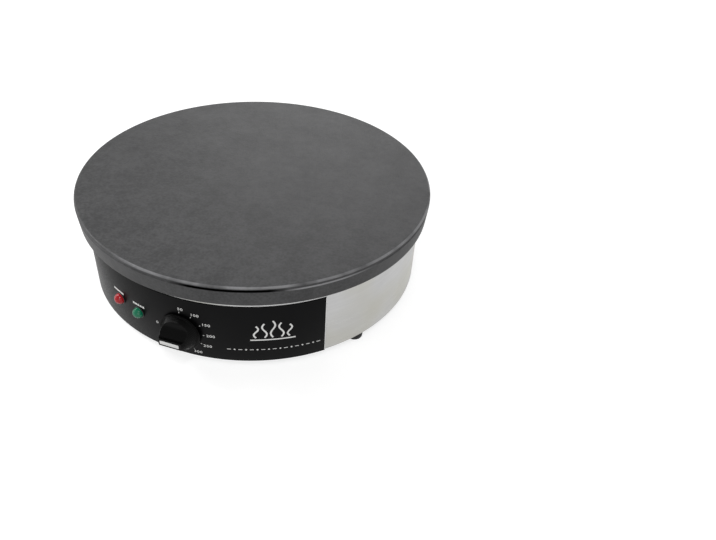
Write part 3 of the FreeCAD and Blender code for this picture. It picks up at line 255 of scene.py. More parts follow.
def around(r, azimuth, z):
    """Points at a radius, azimuth and height: (r sin a, -r cos a, z), so that azimuth 0 is the front."""
    return np.stack([r * np.sin(azimuth), -r * np.cos(azimuth), z + 0 * azimuth], axis=-1)


def lathe(outline, steps=ROUND, closed=True):
    """Surface of revolution about Z: each outline point (radius, height) at every azimuth."""
    azimuth = np.linspace(0, 2 * pi, steps, endpoint=False)
    points = around(outline[:, :1], azimuth, outline[:, 1:]).reshape(-1, 3)
    return points, grid_faces(len(outline), steps, wrap_rows=closed, wrap_columns=True)


def facing_out(part, azimuth, base, z):
    """Turns a part built up +Z so that it stands out of the drum at an azimuth, from a base radius and height."""
    points, faces = part
    x, y, depth = points.T
    out = base + depth
    moved = np.stack([x * cos(azimuth) + out * sin(azimuth), x * sin(azimuth) - out * cos(azimuth), z + y], axis=-1)
    return moved, faces


def set_round(part, circle, azimuths, z=0.0):
    """Copies of a part on a circle about the axis, at azimuths in degrees."""
    points, faces = part
    return [(points + place, faces) for place in around(circle, np.radians(azimuths), z)]


def on_drum(flat, radius, azimuth, z):
    """Wraps flat points (x, y, height) onto an upright cylinder: x becomes an arc length."""
    return around(radius + flat[:, 2], azimuth + flat[:, 0] / radius, z + flat[:, 1])


def stroke(path, width, height):
    """Ribbon of even width along a flat path, with a top, a base and closed ends."""
    path = np.asarray(path, float)
    side = np.gradient(path, axis=0)
    side = np.stack([-side[:, 1], side[:, 0]], axis=-1)
    side /= np.linalg.norm(side, axis=1)[:, None]
    left, right = path + side * width / 2, path - side * width / 2
    low, high = np.zeros(len(path)), np.full(len(path), height)
    ring = [np.column_stack(p) for p in ((left, low), (left, high), (right, high), (right, low))]
    points = np.stack(ring, axis=1).reshape(-1, 3)
    caps = np.array([[3, 2, 1, 0], [len(points) - 4, len(points) - 3, len(points) - 2, len(points) - 1]])
    return points, np.concatenate([grid_faces(len(path), 4, wrap_columns=True), caps])


def node(tree, kind, settings=None, links=None, out=0):
    """Adds a shader node with its settings and links, and gives back one of its outputs. The kind is Blender's name
    without the ShaderNode in front."""
    made = tree.nodes.new("ShaderNode" + kind)
    for key, value in (settings or {}).items():
        if isinstance(key, str) and hasattr(made, key):
            setattr(made, key, value)
        else:
            made.inputs[key].default_value = value
    for key, source in (links or {}).items():
        tree.links.new(source, made.inputs[key])
    return made.outputs[out] if made.outputs else None


def shader(name):
    """An empty material and its node tree."""
    material = bpy.data.materials.new(name)
    material.use_nodes = True
    material.node_tree.nodes.clear()
    return material, material.node_tree


def darker(base, factor):
    """A colour with its red, green and blue scaled."""
    return (*(c * factor for c in base[:3]), 1.0)


def seasoned_cast_iron(colours):
    """Cast iron, turned flat and seasoned with oil: dark satin grey with an open grain and cloudy oil patches. The
    top edge is polished smoother and painted paler as a highlight, the groove at the front is painted black as
    shade, and the lip below carries a painted highlight at the right."""
    material, tree = shader("cast iron, turned and seasoned")
    top = PLATE_HIGH[2]
    place = node(tree, "TexCoord", out="Object")
    # Grit of 0.4 mm and tool marks of 1 mm, both drawn coarser so that they show. Oil patches at their real 34 mm.
    grit, marks, patches = (
        node(tree, "TexNoise", {"Scale": 1 / (grain * MM), "Detail": detail, "Roughness": SOFTNESS}, {"Vector": place})
        for grain, detail in ((2.6, 4.0), (9, 2.0), (34, 3.0)))
    pits = node(tree, "TexVoronoi", {"Scale": 1 / (3.2 * MM)}, {"Vector": place})
    broad = node(tree, "Math", {"operation": "MULTIPLY", 1: 0.25}, {0: patches})
    broad = node(tree, "Math", {"operation": "MULTIPLY_ADD", 1: 0.2}, {0: marks, 2: broad})
    tone = node(tree, "Math", {"operation": "MULTIPLY_ADD", 1: 0.55}, {0: grit, 2: broad})
    tone = node(tree, "MapRange", {"From Min": 0.40, "From Max": 0.60}, {"Value": tone})
    height = node(tree, "Math", {"operation": "MULTIPLY_ADD", 1: 0.35}, {0: pits, 2: grit})
    flat = node(tree, "VectorMath", {"operation": "MULTIPLY", 1: (1, 1, 0)}, {0: place})
    radius = node(tree, "VectorMath", {"operation": "LENGTH"}, {0: flat}, out="Value")
    across, along, level = node(tree, "SeparateXYZ", links={0: place}).node.outputs

    # Each mark is a product of windows: the value rises from 0 to 1 between the two places of a window.
    windows = {
        # The first mark makes the top edge smoother and paints it paler as a highlight, away from its left end.
        "rubbed_and_painted_highlight": [(patches, 0.25, 0.6), (across, -70 * MM, -35 * MM), (radius, PLATE_R - 2.2 * MM, PLATE_R - 1.6 * MM),
                   (level, top - 2.2 * MM, top - 1.6 * MM)],
        # The next mark paints the groove black at the front, as shade under the edge.
        "painted_groove_shade": [(level, top - 6.2 * MM, top - 5.7 * MM), (level, top - 2.6 * MM, top - 3.0 * MM),
                  (across, -2 * MM, 18 * MM), (across, 108 * MM, 92 * MM), (along, 0.0, -20 * MM)],
        # The last mark paints a highlight on the lip at the front right.
        "painted_lip_highlight": [(level, top - 6.8 * MM, top - 6.2 * MM), (level, top - 4.9 * MM, top - 5.4 * MM),
                 (across, 104 * MM, 118 * MM), (across, 176 * MM, 150 * MM), (along, -20 * MM, -70 * MM)],
    }
    mark = {}
    for name, limits in windows.items():
        for value, start, end in limits:
            window = node(tree, "MapRange", {"From Min": start, "From Max": end}, {"Value": value})
            if name in mark:
                window = node(tree, "Math", {"operation": "MULTIPLY"}, {0: mark[name], 1: window})
            mark[name] = window
    painted_highlight = node(tree, "Math", {"operation": "MULTIPLY_ADD", 1: 0.8}, {0: mark["rubbed_and_painted_highlight"], 2: mark["painted_lip_highlight"]})
    body = node(tree, "MixRGB", {"Color1": colours.plate_dark, "Color2": colours.plate}, {"Fac": tone})
    # Painted shade: the groove at the front is painted near black.
    body = node(tree, "MixRGB", {"Color2": linear("#030303")}, {"Fac": mark["painted_groove_shade"], "Color1": body})
    # Painted highlights: the top edge and the lip are painted paler.
    body = node(tree, "MixRGB", {"Color2": colours.plate_painted_highlight}, {"Fac": painted_highlight, "Color1": body})
    rough = node(tree, "MapRange", {"From Min": 0.3, "From Max": 0.7, "To Min": 0.44, "To Max": 0.60}, {"Value": grit})
    smooth = node(tree, "Math", {"operation": "MULTIPLY_ADD", 1: -0.45, 2: 1.0}, {0: mark["rubbed_and_painted_highlight"]})
    smooth = node(tree, "Math", {"operation": "ADD"}, {0: smooth, 1: mark["painted_groove_shade"]})
    surface = node(tree, "BsdfPrincipled", {"Specular IOR Level": 0.45}, {
        "Base Color": body,
        "Metallic": mark["painted_groove_shade"],  # takes the whitish shine off the painted shade, so that the groove stays black
        "Roughness": node(tree, "Math", {"operation": "MULTIPLY"}, {0: rough, 1: smooth}),
        "Normal": node(tree, "Bump", {"Strength": 0.7, "Distance": 0.2 * MM}, {"Height": height}),
    })
    node(tree, "OutputMaterial", links={"Surface": surface})
    return material


def brushed_stainless(colours):
    """Stainless sheet, brushed along its length: bright, with long fine scratches round the drum, streaks a few
    millimetres high, and warm patches where it has been hot."""
    material, tree = shader("stainless steel, brushed")
    sheet = node(tree, "UVMap", {"uv_map": "sheet"})
    place = node(tree, "TexCoord", out="Object")
    # Scratches are 0.05 mm wide in truth, and drawn coarser so that they show.
    fine = node(tree, "Mapping", {"Scale": (0.012, 1.0, 1.0)}, {"Vector": sheet})
    broad = node(tree, "Mapping", {"Scale": (0.03, 1.0, 1.0)}, {"Vector": sheet})
    scratch, streak, cloud, heat = (
        node(tree, "TexNoise", {"Scale": 1 / (grain * MM), "Detail": detail, "Roughness": SOFTNESS}, {"Vector": where})
        for grain, detail, where in ((0.9, 3.0, fine), (3.5, 2.0, broad), (30, 2.0, place), (60, 1.0, place)))
    both = node(tree, "Math", {"operation": "ADD"}, {0: cloud, 1: streak})
    both = node(tree, "MapRange", {"From Min": 0.70, "From Max": 1.30}, {"Value": both})
    shade = node(tree, "MixRGB", {"Color1": darker(colours.steel, 0.90), "Color2": colours.steel}, {"Fac": both})
    warmth = node(tree, "MapRange", {"From Min": 0.45, "From Max": 0.70, "To Max": 0.6}, {"Value": heat})
    surface = node(tree, "BsdfPrincipled", {"Metallic": 1.0}, {
        "Base Color": node(tree, "MixRGB", {"Color2": colours.steel_warm}, {"Fac": warmth, "Color1": shade}),
        "Roughness": node(tree, "MapRange",
                          {"From Min": 0.3, "From Max": 0.7, "To Min": 0.26, "To Max": 0.44}, {"Value": scratch}),
        "Normal": node(tree, "Bump", {"Strength": 0.5, "Distance": 0.03 * MM}, {"Height": scratch}),
    })
    node(tree, "OutputMaterial", links={"Surface": surface})
    return material


# Finishes that wander a little in colour and roughness: material and how it was made, colour (one of the settings
# or a hex value), metallic, roughness, grain across in mm, height of the grain in mm, darkest share of the colour,
# and, for some, the surface's own further values. Grains finer than half a millimetre in truth are drawn coarser,
# so that they show at all.
PLAIN = {
    # Black ink film on a smooth sheet: dull and even, with a faint orange peel.
    "printed_panel": ("aluminium sheet, screen printed", "panel", 0.0, 0.36, 1.6, 0.004, 0.82,
                      {"Specular IOR Level": 0.09}),
    # Bare strip at the sheet's end: bright, slightly burred.
    "panel_edge": ("aluminium sheet, sheared", "#EDEDEC", 1.0, 0.30, 0.5, 0.01, 0.82),
    # Hard dense moulding with a soft shine on its ribs.
    "black_knob": ("phenolic, compression moulded", "knob", 0.0, 0.20, 0.9, 0.006, 0.82, {"Specular IOR Level": 0.09}),
    # Glossy white strip, nearly even.
    "white_inlay": ("acrylic strip, cast", "inlay", 0.0, 0.28, 0.8, 0.003, 0.96),
    # Thick opaque ink with a chalky edge.
    "white_ink": ("epoxy ink, screen printed", "ink", 0.0, 0.50, 0.3, 0.004, 0.92),
    # Clear tinted domes: the colour glows through a smooth skin.
    "red_lens": ("polycarbonate, moulded red", "red", 0.0, 0.16, 2.5, 0.002, 0.80,
                 {"IOR": 1.58, "Specular IOR Level": 0.3, "Transmission Weight": 0.1}),
    "green_lens": ("polycarbonate, moulded green", "green", 0.0, 0.16, 2.5, 0.002, 0.80,
                   {"IOR": 1.58, "Specular IOR Level": 0.3, "Transmission Weight": 0.1}),
    # Fine matt moulding.
    "lamp_plastic": ("nylon, moulded", "#171717", 0.0, 0.45, 0.5, 0.008, 0.82),
    # Glass fibre shows as a dull open skin.
    "gland_nylon": ("glass filled nylon, moulded", "#1B1B1C", 0.0, 0.50, 0.6, 0.015, 0.82),
    # Dead matt, with a little bloom.
    "foot_rubber": ("nitrile rubber, moulded", "rubber", 0.0, 0.72, 0.7, 0.02, 0.82),
    # Brown thermoset with flow marks.
    "moulding": ("thermoset, compression moulded", "#2A221C", 0.0, 0.48, 0.8, 0.01, 0.82),
    # Cool bright plate with a slight blue cast.
    "plated_steel": ("steel, zinc plated", "#B9BCC0", 1.0, 0.34, 0.6, 0.008, 0.82),
    # Broad cool spangles.
    "galvanised_sheet": ("steel sheet, galvanised", "#A4A9AC", 1.0, 0.44, 6.0, 0.01, 0.70),
    # Even silvery skin.
    "aluminised_steel": ("steel sheet, aluminised", "#B4B4B2", 1.0, 0.46, 1.2, 0.01, 0.82),
    # Olive brown oxide from red heat.
    "element_sheath": ("steel tube, heat oxidised", "#5B534A", 0.9, 0.55, 1.5, 0.02, 0.60),
    # Warm metal, lightly tarnished.
    "copper": ("copper tube, drawn", "#C07A55", 1.0, 0.36, 1.0, 0.01, 0.82),
    # Yellow metal with a fine turned grain.
    "brass": ("brass, turned", "#C9A255", 1.0, 0.30, 0.5, 0.006, 0.82),
    # Soft red brown sleeve.
    "silicone": ("silicone, extruded", "#7A3226", 0.0, 0.60, 0.8, 0.01, 0.82),
    # Off-white felt, deeply fibrous.
    "ceramic_fibre": ("ceramic fibre, needled", "#DEDDD6", 0.0, 0.95, 1.8, 0.5, 0.88),
    # Glossy cream glaze.
    "white_ceramic": ("steatite, glazed", "#E2DFD6", 0.0, 0.20, 1.4, 0.01, 0.94),
}


def plain_finish(row, colours):
    """One finish of the table: a noise of one grain size lifts the surface and moves the roughness, and a broader
    one moves the colour between its darkest share and the full colour."""
    name, base, metallic, roughness, grain, depth, shade, *own = row
    base = linear(base) if base.startswith("#") else tuple(getattr(colours, base))
    material, tree = shader(name)
    place = node(tree, "TexCoord", out="Object")
    fine, broad = (
        node(tree, "TexNoise", {"Scale": 1 / (across * MM), "Detail": 3.0, "Roughness": SOFTNESS}, {"Vector": place})
        for across in (grain, 14 * grain))
    share = node(tree, "MapRange", {"From Min": 0.35, "From Max": 0.65}, {"Value": broad})
    low, high = max(0.02, roughness - 0.08), min(1.0, roughness + 0.08)
    surface = node(tree, "BsdfPrincipled", {"Metallic": metallic, **(own[0] if own else {})}, {
        "Base Color": node(tree, "MixRGB", {"Color1": darker(base, shade), "Color2": base}, {"Fac": share}),
        "Roughness": node(tree, "MapRange", {"From Min": 0.3, "From Max": 0.7, "To Min": low, "To Max": high},
                          {"Value": fine}),
        "Normal": node(tree, "Bump", {"Strength": 1.0, "Distance": depth * MM}, {"Height": fine}),
    })
    node(tree, "OutputMaterial", links={"Surface": surface})
    return material


MADE = {}


def material_for(key):
    """Makes each finish once and keeps it."""
    colours = bpy.context.scene.crepe_colours
    if key not in MADE:
        if key == "cast_plate":
            MADE[key] = seasoned_cast_iron(colours)
        elif key == "stainless":
            MADE[key] = brushed_stainless(colours)
        else:
            MADE[key] = plain_finish(PLAIN[key], colours)
    return MADE[key]


class CREPE_OT_plate(bpy.types.Operator):
    """Turns the griddle plate's outline round the axis and sets three bosses under it"""

    bl_idname = "crepe.plate"
    bl_label = "Griddle plate"

    def execute(self, context):
        size = context.scene.crepe_sizes
        top, low = PLATE_HIGH[2], PLATE_LOW[2]
        low_r = PLATE_R - 2.0 * MM    # casting draft
        inner_r = low_r - size.rim_wall
        groove = size.plate_groove
        high = top - size.plate_edge - groove / 2
        corners = [
            (0, top), (PLATE_R, top), (PLATE_R, high), (PLATE_R - groove, high - groove),
            (PLATE_R - groove, high - 2 * groove), (PLATE_R - groove / 4, high - 3 * groove),
            (low_r, low), (inner_r, low), (inner_r, UNDER_Z), (0, UNDER_Z),
        ]
        soft, foot_soft, root = groove * 0.4, 1.2 * MM, 3 * MM
        radii = [0, size.plate_edge, soft, soft, soft, soft, foot_soft, foot_soft, root, 0]
        parts = [lathe(rounded_outline(corners, radii, 9), closed=False)]
        sunk = 1 * MM    # the boss starts this deep in the slab
        boss = np.array([(0, sunk), (size.boss_radius, sunk), (size.boss_radius, -size.boss_height),
                         (0, -size.boss_height)])
        parts += set_round(lathe(boss, 48, closed=False), size.boss_circle, BOSS_AZIMUTHS, UNDER_Z)
        build("plate_casting", parts, FIXED, "cast_plate", ["griddle_plate"])
        return {"FINISHED"}


class CREPE_OT_drum(bpy.types.Operator):
    """Wraps the drum's folded sheet round the axis, with a lap where it meets itself at the back"""

    bl_idname = "crepe.drum"
    bl_label = "Stainless drum"

    def execute(self, context):
        size = context.scene.crepe_sizes
        low, high, t = DRUM_LOW[2], DRUM_HIGH[2], size.sheet
        inner = DRUM_R - t
        corners = [
            (inner - size.lip, high), (DRUM_R, high), (DRUM_R, low), (inner - size.flange, low),
            (inner - size.flange, low + t), (inner, low + t), (inner, high - t), (inner - size.lip, high - t),
        ]
        radii = [t / 3, size.fold, size.fold, t / 3, t / 3, size.fold - t, size.fold - t, t / 3]
        outline = rounded_outline(corners, np.maximum(radii, 0.2 * MM), 6)
        points, faces = lathe(outline)
        # The outer face steps up by the lap just past the seam, and comes back to the circle over 40 degrees.
        seam, step, fading = radians(205), radians(2), radians(40)
        azimuth = np.arctan2(points[:, 0], -points[:, 1])
        behind = (azimuth - seam + 2 * pi) % (2 * pi)
        fade = np.clip(behind / step, 0, 1) * np.clip(1 - behind / fading, 0, 1)
        radius = np.hypot(points[:, 0], points[:, 1])
        outer = np.clip((radius - inner) / t, 0, 1)
        points[:, :2] *= (1 + size.lap * fade * outer / radius)[:, None]
        # The sheet's own map, in metres: length round the drum and length along its folded section.
        turn = np.linspace(0, 2 * pi * DRUM_R, ROUND, endpoint=False)
        walk = np.concatenate([[0], np.cumsum(np.linalg.norm(np.diff(outline, axis=0), axis=1))])
        uv = np.stack(np.broadcast_arrays(turn[None, :], walk[:, None]), axis=-1).reshape(-1, 2)
        build("drum_wrap", [(points, faces)], FIXED, "stainless", ["drum_shell"], uv=uv)
        return {"FINISHED"}


def panel_azimuths():
    """Azimuths of the panel's two ends, from its corners at the drum's outer face."""
    left = -np.arcsin(np.clip(-PANEL_LOW[0] / PANEL_R, -1, 1))
    right = np.arcsin(np.clip(PANEL_HIGH[0] / PANEL_R, -1, 1))
    return left, right


class CREPE_OT_panel(bpy.types.Operator):
    """Bends the control panel's sheet along the drum: a rounded section swept through the azimuths"""

    bl_idname = "crepe.panel"
    bl_label = "Control panel"

    def execute(self, context):
        size = context.scene.crepe_sizes
        low, high = PANEL_LOW[2], PANEL_HIGH[2]
        left, right = panel_azimuths()
        back = DRUM_R + 0.05 * MM
        section = rounded_outline(
            [(back, low), (PANEL_R, low), (PANEL_R, high), (back, high)],
            [0.05 * MM, 0.3 * MM, 0.3 * MM, 0.05 * MM], 4)
        azimuth = np.append(np.linspace(left, right - size.bare_edge / PANEL_R, 160), right)
        points = around(section[:, 0], azimuth[:, None], section[:, 1]).reshape(-1, 3)
        faces = grid_faces(len(azimuth), len(section), wrap_columns=True)
        piece = build("panel_sheet", [(points, faces)], FIXED, "printed_panel", ["control_panel"], sharp=50.0)
        mesh = piece.data
        tidy = bmesh.new()
        tidy.from_mesh(mesh)
        bmesh.ops.holes_fill(tidy, edges=[e for e in tidy.edges if e.is_boundary])
        for face in tidy.faces:
            middle = face.calc_center_median()
            if atan2(middle.x, -middle.y) > right - size.bare_edge / PANEL_R:
                face.material_index = 1
        bmesh.ops.recalc_face_normals(tidy, faces=tidy.faces)
        tidy.to_mesh(mesh)
        tidy.free()
        mesh.materials.append(material_for("panel_edge"))
        return {"FINISHED"}


def numeral(text, height, ink):
    """Flat number as (points, faces): a text curve with its ink's thickness, made a mesh and centred."""
    curve = bpy.data.curves.new("numeral", "FONT")
    curve.body = text
    curve.align_x, curve.align_y = "CENTER", "CENTER"
    curve.size = height / 0.7
    curve.extrude = ink / 2
    curve.space_character = 1.15
    curve.offset = height * 0.02
    curve.resolution_u = 4
    carrier = bpy.data.objects.new("numeral", curve)
    bpy.context.scene.collection.objects.link(carrier)
    mesh = bpy.data.meshes.new_from_object(carrier)
    bpy.data.objects.remove(carrier)
    mesh.calc_loop_triangles()
    points = np.empty(len(mesh.vertices) * 3, np.float32)
    mesh.vertices.foreach_get("co", points)
    triangles = np.empty(len(mesh.loop_triangles) * 3, np.int32)
    mesh.loop_triangles.foreach_get("vertices", triangles)
    bpy.data.meshes.remove(mesh)
    bpy.data.curves.remove(curve)
    points = points.reshape(-1, 3).astype(float)
    points[:, 2] += ink / 2
    return points, triangles.reshape(-1, 3)


def on_panel(part, azimuth, z):
    """A flat print laid on the panel, sunk a hair so that no gap shows."""
    points = part[0].copy()
    points[:, 2] -= 0.01 * MM
    return on_drum(points, PANEL_R, azimuth, z), part[1]


def rule(x0, x1, y, width, ink):
    """Straight printed bar between two places."""
    x = np.linspace(x0, x1, 12)
    return stroke(np.column_stack([x, np.full_like(x, y)]), width, ink)


def diamond(x, y, half, ink):
    """Small printed diamond."""
    path = np.column_stack([[x - half, x, x + half], [y, y, y]])
    points, faces = stroke(path, 2 * half, ink)
    ends = np.r_[0:4, 8:12]
    points[ends, 1] = y
    return points, faces


class CREPE_OT_print(bpy.types.Operator):
    """Lays the white print on the panel: dial numbers, ticks, bars over the lamps, heat waves and a broken rule"""

    bl_idname = "crepe.print"
    bl_label = "Panel print"

    def execute(self, context):
        size = context.scene.crepe_sizes
        ink = size.ink
        digits, marks = [], []

        # Dial: 0 at nine o'clock, 50 at twelve, then a number every 30 degrees clockwise up to 300 at five o'clock.
        tick = np.linspace(23.6 * MM, 25.2 * MM, 3)[:, None]
        digit_wide, digit_shift, dial_squash = 1.2, 1.6 * MM, 0.96
        for i, text in enumerate(["0", "50", "100", "150", "200", "250", "300"]):
            turn = radians(180 if i == 0 else 120 - 30 * i)
            x, y = size.digit_circle * cos(turn), dial_squash * size.digit_circle * sin(turn)
            points, faces = numeral(text, size.digit_height, ink)
            points[:, 0] = points[:, 0] * digit_wide + x + digit_shift
            points[:, 1] += y
            digits.append(on_panel((points, faces), 0, KNOB_Z))
            marks.append(on_panel(stroke(tick * np.array([cos(turn), sin(turn)]), 0.55 * MM, ink), 0, KNOB_Z))

        # Legends: one plain bar over the red lamp, five dashes over the green one.
        red, green = azimuth_of("red_lamp_lens"), azimuth_of("green_lamp_lens")
        legend_z = DRUM_LOW[2] + 41 * MM
        bar, dash, dash_step = 8.6 * MM, 1.3 * MM, 3.4 * MM
        marks.append(on_panel(rule(-bar, bar, 0, 2.3 * MM, ink), red - radians(0.8), legend_z + 2.6 * MM))
        for i in range(5):
            x = (i - 2) * dash_step
            marks.append(on_panel(rule(x - dash, x + dash, 0, 2.6 * MM, ink), green, legend_z + 1.4 * MM))

        # Heat waves over a bar: each wave is one full swing of a sine, drawn upwards.
        centre, base_z = radians(28.4), DRUM_LOW[2] + 30 * MM
        wave_step, wave_lift, wave_wide, base_half = 8.5 * MM, 3 * MM, 1.8 * MM, 23 * MM
        t = np.linspace(0, 1, 40)
        for i in range(5):
            x = (i - 2) * wave_step
            tall = (22 - 3.2 * abs(i - 2)) * MM
            sway = 2.3 * MM * np.sin(2 * pi * t + (0 if i % 2 else pi))
            wave = stroke(np.column_stack([x + sway, wave_lift + t * tall]), wave_wide, ink)
            marks.append(on_panel(wave, centre, base_z))
        marks.append(on_panel(rule(-base_half, base_half, 0, 1.6 * MM, ink), centre, base_z))

        # Broken rule of bars and diamonds along the panel's foot.
        rule_z, rule_azimuth, rule_step = DRUM_LOW[2] + 16.5 * MM, radians(28.8), 5.8 * MM
        for i in range(17):
            x = (i - 8) * rule_step
            piece = diamond(x, 0, 1.2 * MM, ink) if i % 2 else rule(x - 2 * MM, x + 2 * MM, 0, 0.8 * MM, ink)
            marks.append(on_panel(piece, rule_azimuth, rule_z))
        build("dial_numbers", digits, FIXED, "white_ink", sharp=60.0)
        build("panel_marks", marks, FIXED, "white_ink", sharp=60.0)
        return {"FINISHED"}


def soft_min(a, b, soft):
    """Smaller of two heights, with a rounded crossing about soft wide: a blend of the two by how far apart they are,
    less soft times the blend's two shares."""
    gap = np.clip(0.5 + 0.5 * (b - a) / soft, 0, 1)
    return b * (1 - gap) + a * gap - soft * gap * (1 - gap)


class CREPE_OT_knob(bpy.types.Operator):
    """Shapes the knob as a height over a disc: the lower of a tapered body and two scoops beside a grip bar"""

    bl_idname = "crepe.knob"
    bl_label = "Thermostat knob"

    def execute(self, context):
        size = context.scene.crepe_sizes
        front = KNOB_HIGH[1] - KNOB_LOW[1] - size.inlay_proud
        soft = size.knob_round
        body_r = size.knob_radius - size.knob_step
        front_r = body_r - size.knob_taper
        steps = 8 * size.knob_ribs
        turn = np.linspace(0, 2 * pi, steps, endpoint=False)[None, :]
        r = np.concatenate([
            np.linspace(0, front_r - 1.2 * MM, 60), np.linspace(front_r - 1.1 * MM, body_r + 0.4 * MM, 90),
            np.linspace(body_r + 0.5 * MM, size.knob_radius - soft / 2, 6)])[:, None]
        x, y = r * np.cos(turn), r * np.sin(turn)
        slope = (front - size.knob_flange) / size.knob_taper
        rib = size.rib_depth * (0.5 - 0.5 * np.cos(size.knob_ribs * turn))
        wall = front - (r + rib - front_r) * slope
        tapered = soft_min(wall, np.full_like(wall, front), soft * 1.4)
        away = np.abs(y) - size.grip / 2
        reach = np.clip(away, 0, size.scoop)
        scoop = front - np.sqrt(np.clip(size.scoop ** 2 - (size.scoop - reach) ** 2, 0, None))
        scoop = np.where(away < 0, front + 3 * np.abs(away), scoop)
        height = soft_min(tapered, scoop, soft)
        step = np.full_like(height, size.knob_flange)
        height = -soft_min(-height, -step, soft * 0.5)
        height = np.minimum(height, front)
        top = np.stack([x, y, height], axis=-1)
        hollow_r = body_r - 2.2 * MM
        hub_back, bore_r, bore_deep = 2.5 * MM, 3.05 * MM, 14.1 * MM
        skirt = rounded_outline([(0, size.knob_flange), (size.knob_radius, size.knob_flange), (size.knob_radius, 0),
                                 (0, 0)], [0, soft / 2, soft / 3, 0], 5)[1:-1]
        behind = [
            (hollow_r + 0.8 * MM, 0), (hollow_r - 1.5 * MM, size.hollow), (size.hub_radius, size.hollow),
            (size.hub_radius, hub_back), (bore_r, hub_back), (bore_r, bore_deep), (0, bore_deep)]
        rest = np.concatenate([skirt, behind])
        rest = np.stack([rest[:, 0][:, None] * np.cos(turn), rest[:, 0][:, None] * np.sin(turn),
                         rest[:, 1][:, None] + 0 * turn], axis=-1)
        points = np.concatenate([top, rest]).reshape(-1, 3)
        part = points, grid_faces(len(top) + len(rest), steps, wrap_columns=True)
        build("knob_moulding", [facing_out(part, 0, KNOB_BACK, KNOB_Z)], TURNING, "black_knob",
              ["thermostat_knob"], sharp=50.0)
        return {"FINISHED"}


class CREPE_OT_inlay(bpy.types.Operator):
    """Lays the white strip into the grip bar: a rounded rectangle lofted up to a soft edge"""

    bl_idname = "crepe.inlay"
    bl_label = "Pointer inlay"

    def execute(self, context):
        x0, x1 = INLAY_LOW[0], INLAY_HIGH[0]
        z0, z1 = INLAY_LOW[2], INLAY_HIGH[2]
        deep = INLAY_HIGH[1] - INLAY_LOW[1]
        corners = [(x0, z0 - KNOB_Z), (x1, z0 - KNOB_Z), (x1, z1 - KNOB_Z), (x0, z1 - KNOB_Z)]
        edge = rounded_outline(corners, [0.9 * MM] * 4, 8)
        middle = edge.mean(axis=0)
        soft = 0.15 * MM
        half = (edge.max(axis=0) - edge.min(axis=0)) / 2
        rings = []
        # Inset of the outline and its height, ring by ring. An inset of 1 draws the ring together to close an end.
        for inset, lift in ((1.0, 0.0), (0.0, 0.0), (0.0, deep - soft), (0.3 * soft, deep - 0.3 * soft),
                            (soft, deep), (1.0, deep)):
            factor = np.zeros(2) if inset == 1.0 else 1 - inset / half
            ring = middle + (edge - middle) * factor
            rings.append(np.column_stack([ring, np.full(len(ring), lift)]))
        points = np.concatenate(rings)
        part = points, grid_faces(len(rings), len(edge), wrap_columns=True)
        build("grip_inlay", [facing_out(part, 0, -INLAY_HIGH[1], KNOB_Z)], TURNING, "white_inlay",
              ["knob_pointer_inlay"])
        return {"FINISHED"}


class CREPE_OT_lamps(bpy.types.Operator):
    """Turns each lamp's bezel and its lens: a spherical cap on a short wall, rippled by moulded rings"""

    bl_idname = "crepe.lamps"
    bl_label = "Pilot lamps"

    def execute(self, context):
        size = context.scene.crepe_sizes
        radius, tall = size.lens_radius, size.lens_height
        shoulder = tall / 4
        centre = (tall ** 2 - radius ** 2 - shoulder ** 2) / (2 * (tall - shoulder))
        dome = tall - centre
        swing = np.linspace(0, atan2(radius, shoulder - centre), 48)
        rings = 5
        ripple = size.lens_ripple * (1 - np.cos(swing / swing[-1] * 2 * pi * rings)) / 2
        cap = np.column_stack([(dome - ripple) * np.sin(swing), centre + (dome - ripple) * np.cos(swing)])
        spigot, spigot_deep, clear = 4 * MM, 3 * MM, 0.05 * MM
        wall = np.array([(radius, clear), (spigot, clear), (spigot, -spigot_deep), (0, -spigot_deep)])
        lens = lathe(np.concatenate([cap, wall]), 96, closed=False)
        bezel_h = size.bezel_height
        bore, bore_deep, barrel, barrel_long = 4.1 * MM, 5 * MM, 5 * MM, 21 * MM
        ring = rounded_outline(
            [(bore, bezel_h), (size.bezel_radius, bezel_h), (size.bezel_radius, 0), (barrel, 0),
             (barrel, -barrel_long), (0, -barrel_long), (0, -bore_deep), (bore, -bore_deep)],
            [0, 0.35 * MM, 0.1 * MM, 0, 0.5 * MM, 0, 0, 0], 5)
        body = lathe(ring, 96)
        bezel_base = PANEL_R + 0.1 * MM
        for side in ("red", "green"):
            low, high = span(side + "_lamp_lens")
            azimuth = azimuth_of(side + "_lamp_lens")
            z = (low[2] + high[2]) / 2
            build(side + "_lens", [facing_out(lens, azimuth, bezel_base + bezel_h, z)], FIXED, side + "_lens",
                  [side + "_lamp_lens"], sharp=60.0)
            build(side + "_bezel", [facing_out(body, azimuth, bezel_base, z)], FIXED, "lamp_plastic",
                  [side + "_lamp_body"])
        return {"FINISHED"}


class CREPE_OT_feet(bpy.types.Operator):
    """Turns the three rubber feet: a tapered pad with a soft lower edge and a recess for its screw"""

    bl_idname = "crepe.feet"
    bl_label = "Rubber feet"

    def execute(self, context):
        size = context.scene.crepe_sizes
        top = COVER_LOW[2] - 0.05 * MM
        big, small, well = size.foot_radius, size.foot_radius - size.foot_taper, size.foot_well
        hole = 2.75 * MM
        outline = rounded_outline(
            [(hole, top), (big, top), (small, 0), (well, 0), (well, top / 2), (hole, top / 2)],
            [0.1 * MM, 0.5 * MM, 0.8 * MM, 0.4 * MM, 0.1 * MM, 0.1 * MM], 6)
        foot = lathe(outline, 72)
        inset = 1.5 * MM
        parts = set_round(foot, DRUM_R - inset - size.foot_radius, FOOT_AZIMUTHS)
        build("moulded_feet", parts, FIXED, "foot_rubber", ["rubber_feet"])
        return {"FINISHED"}


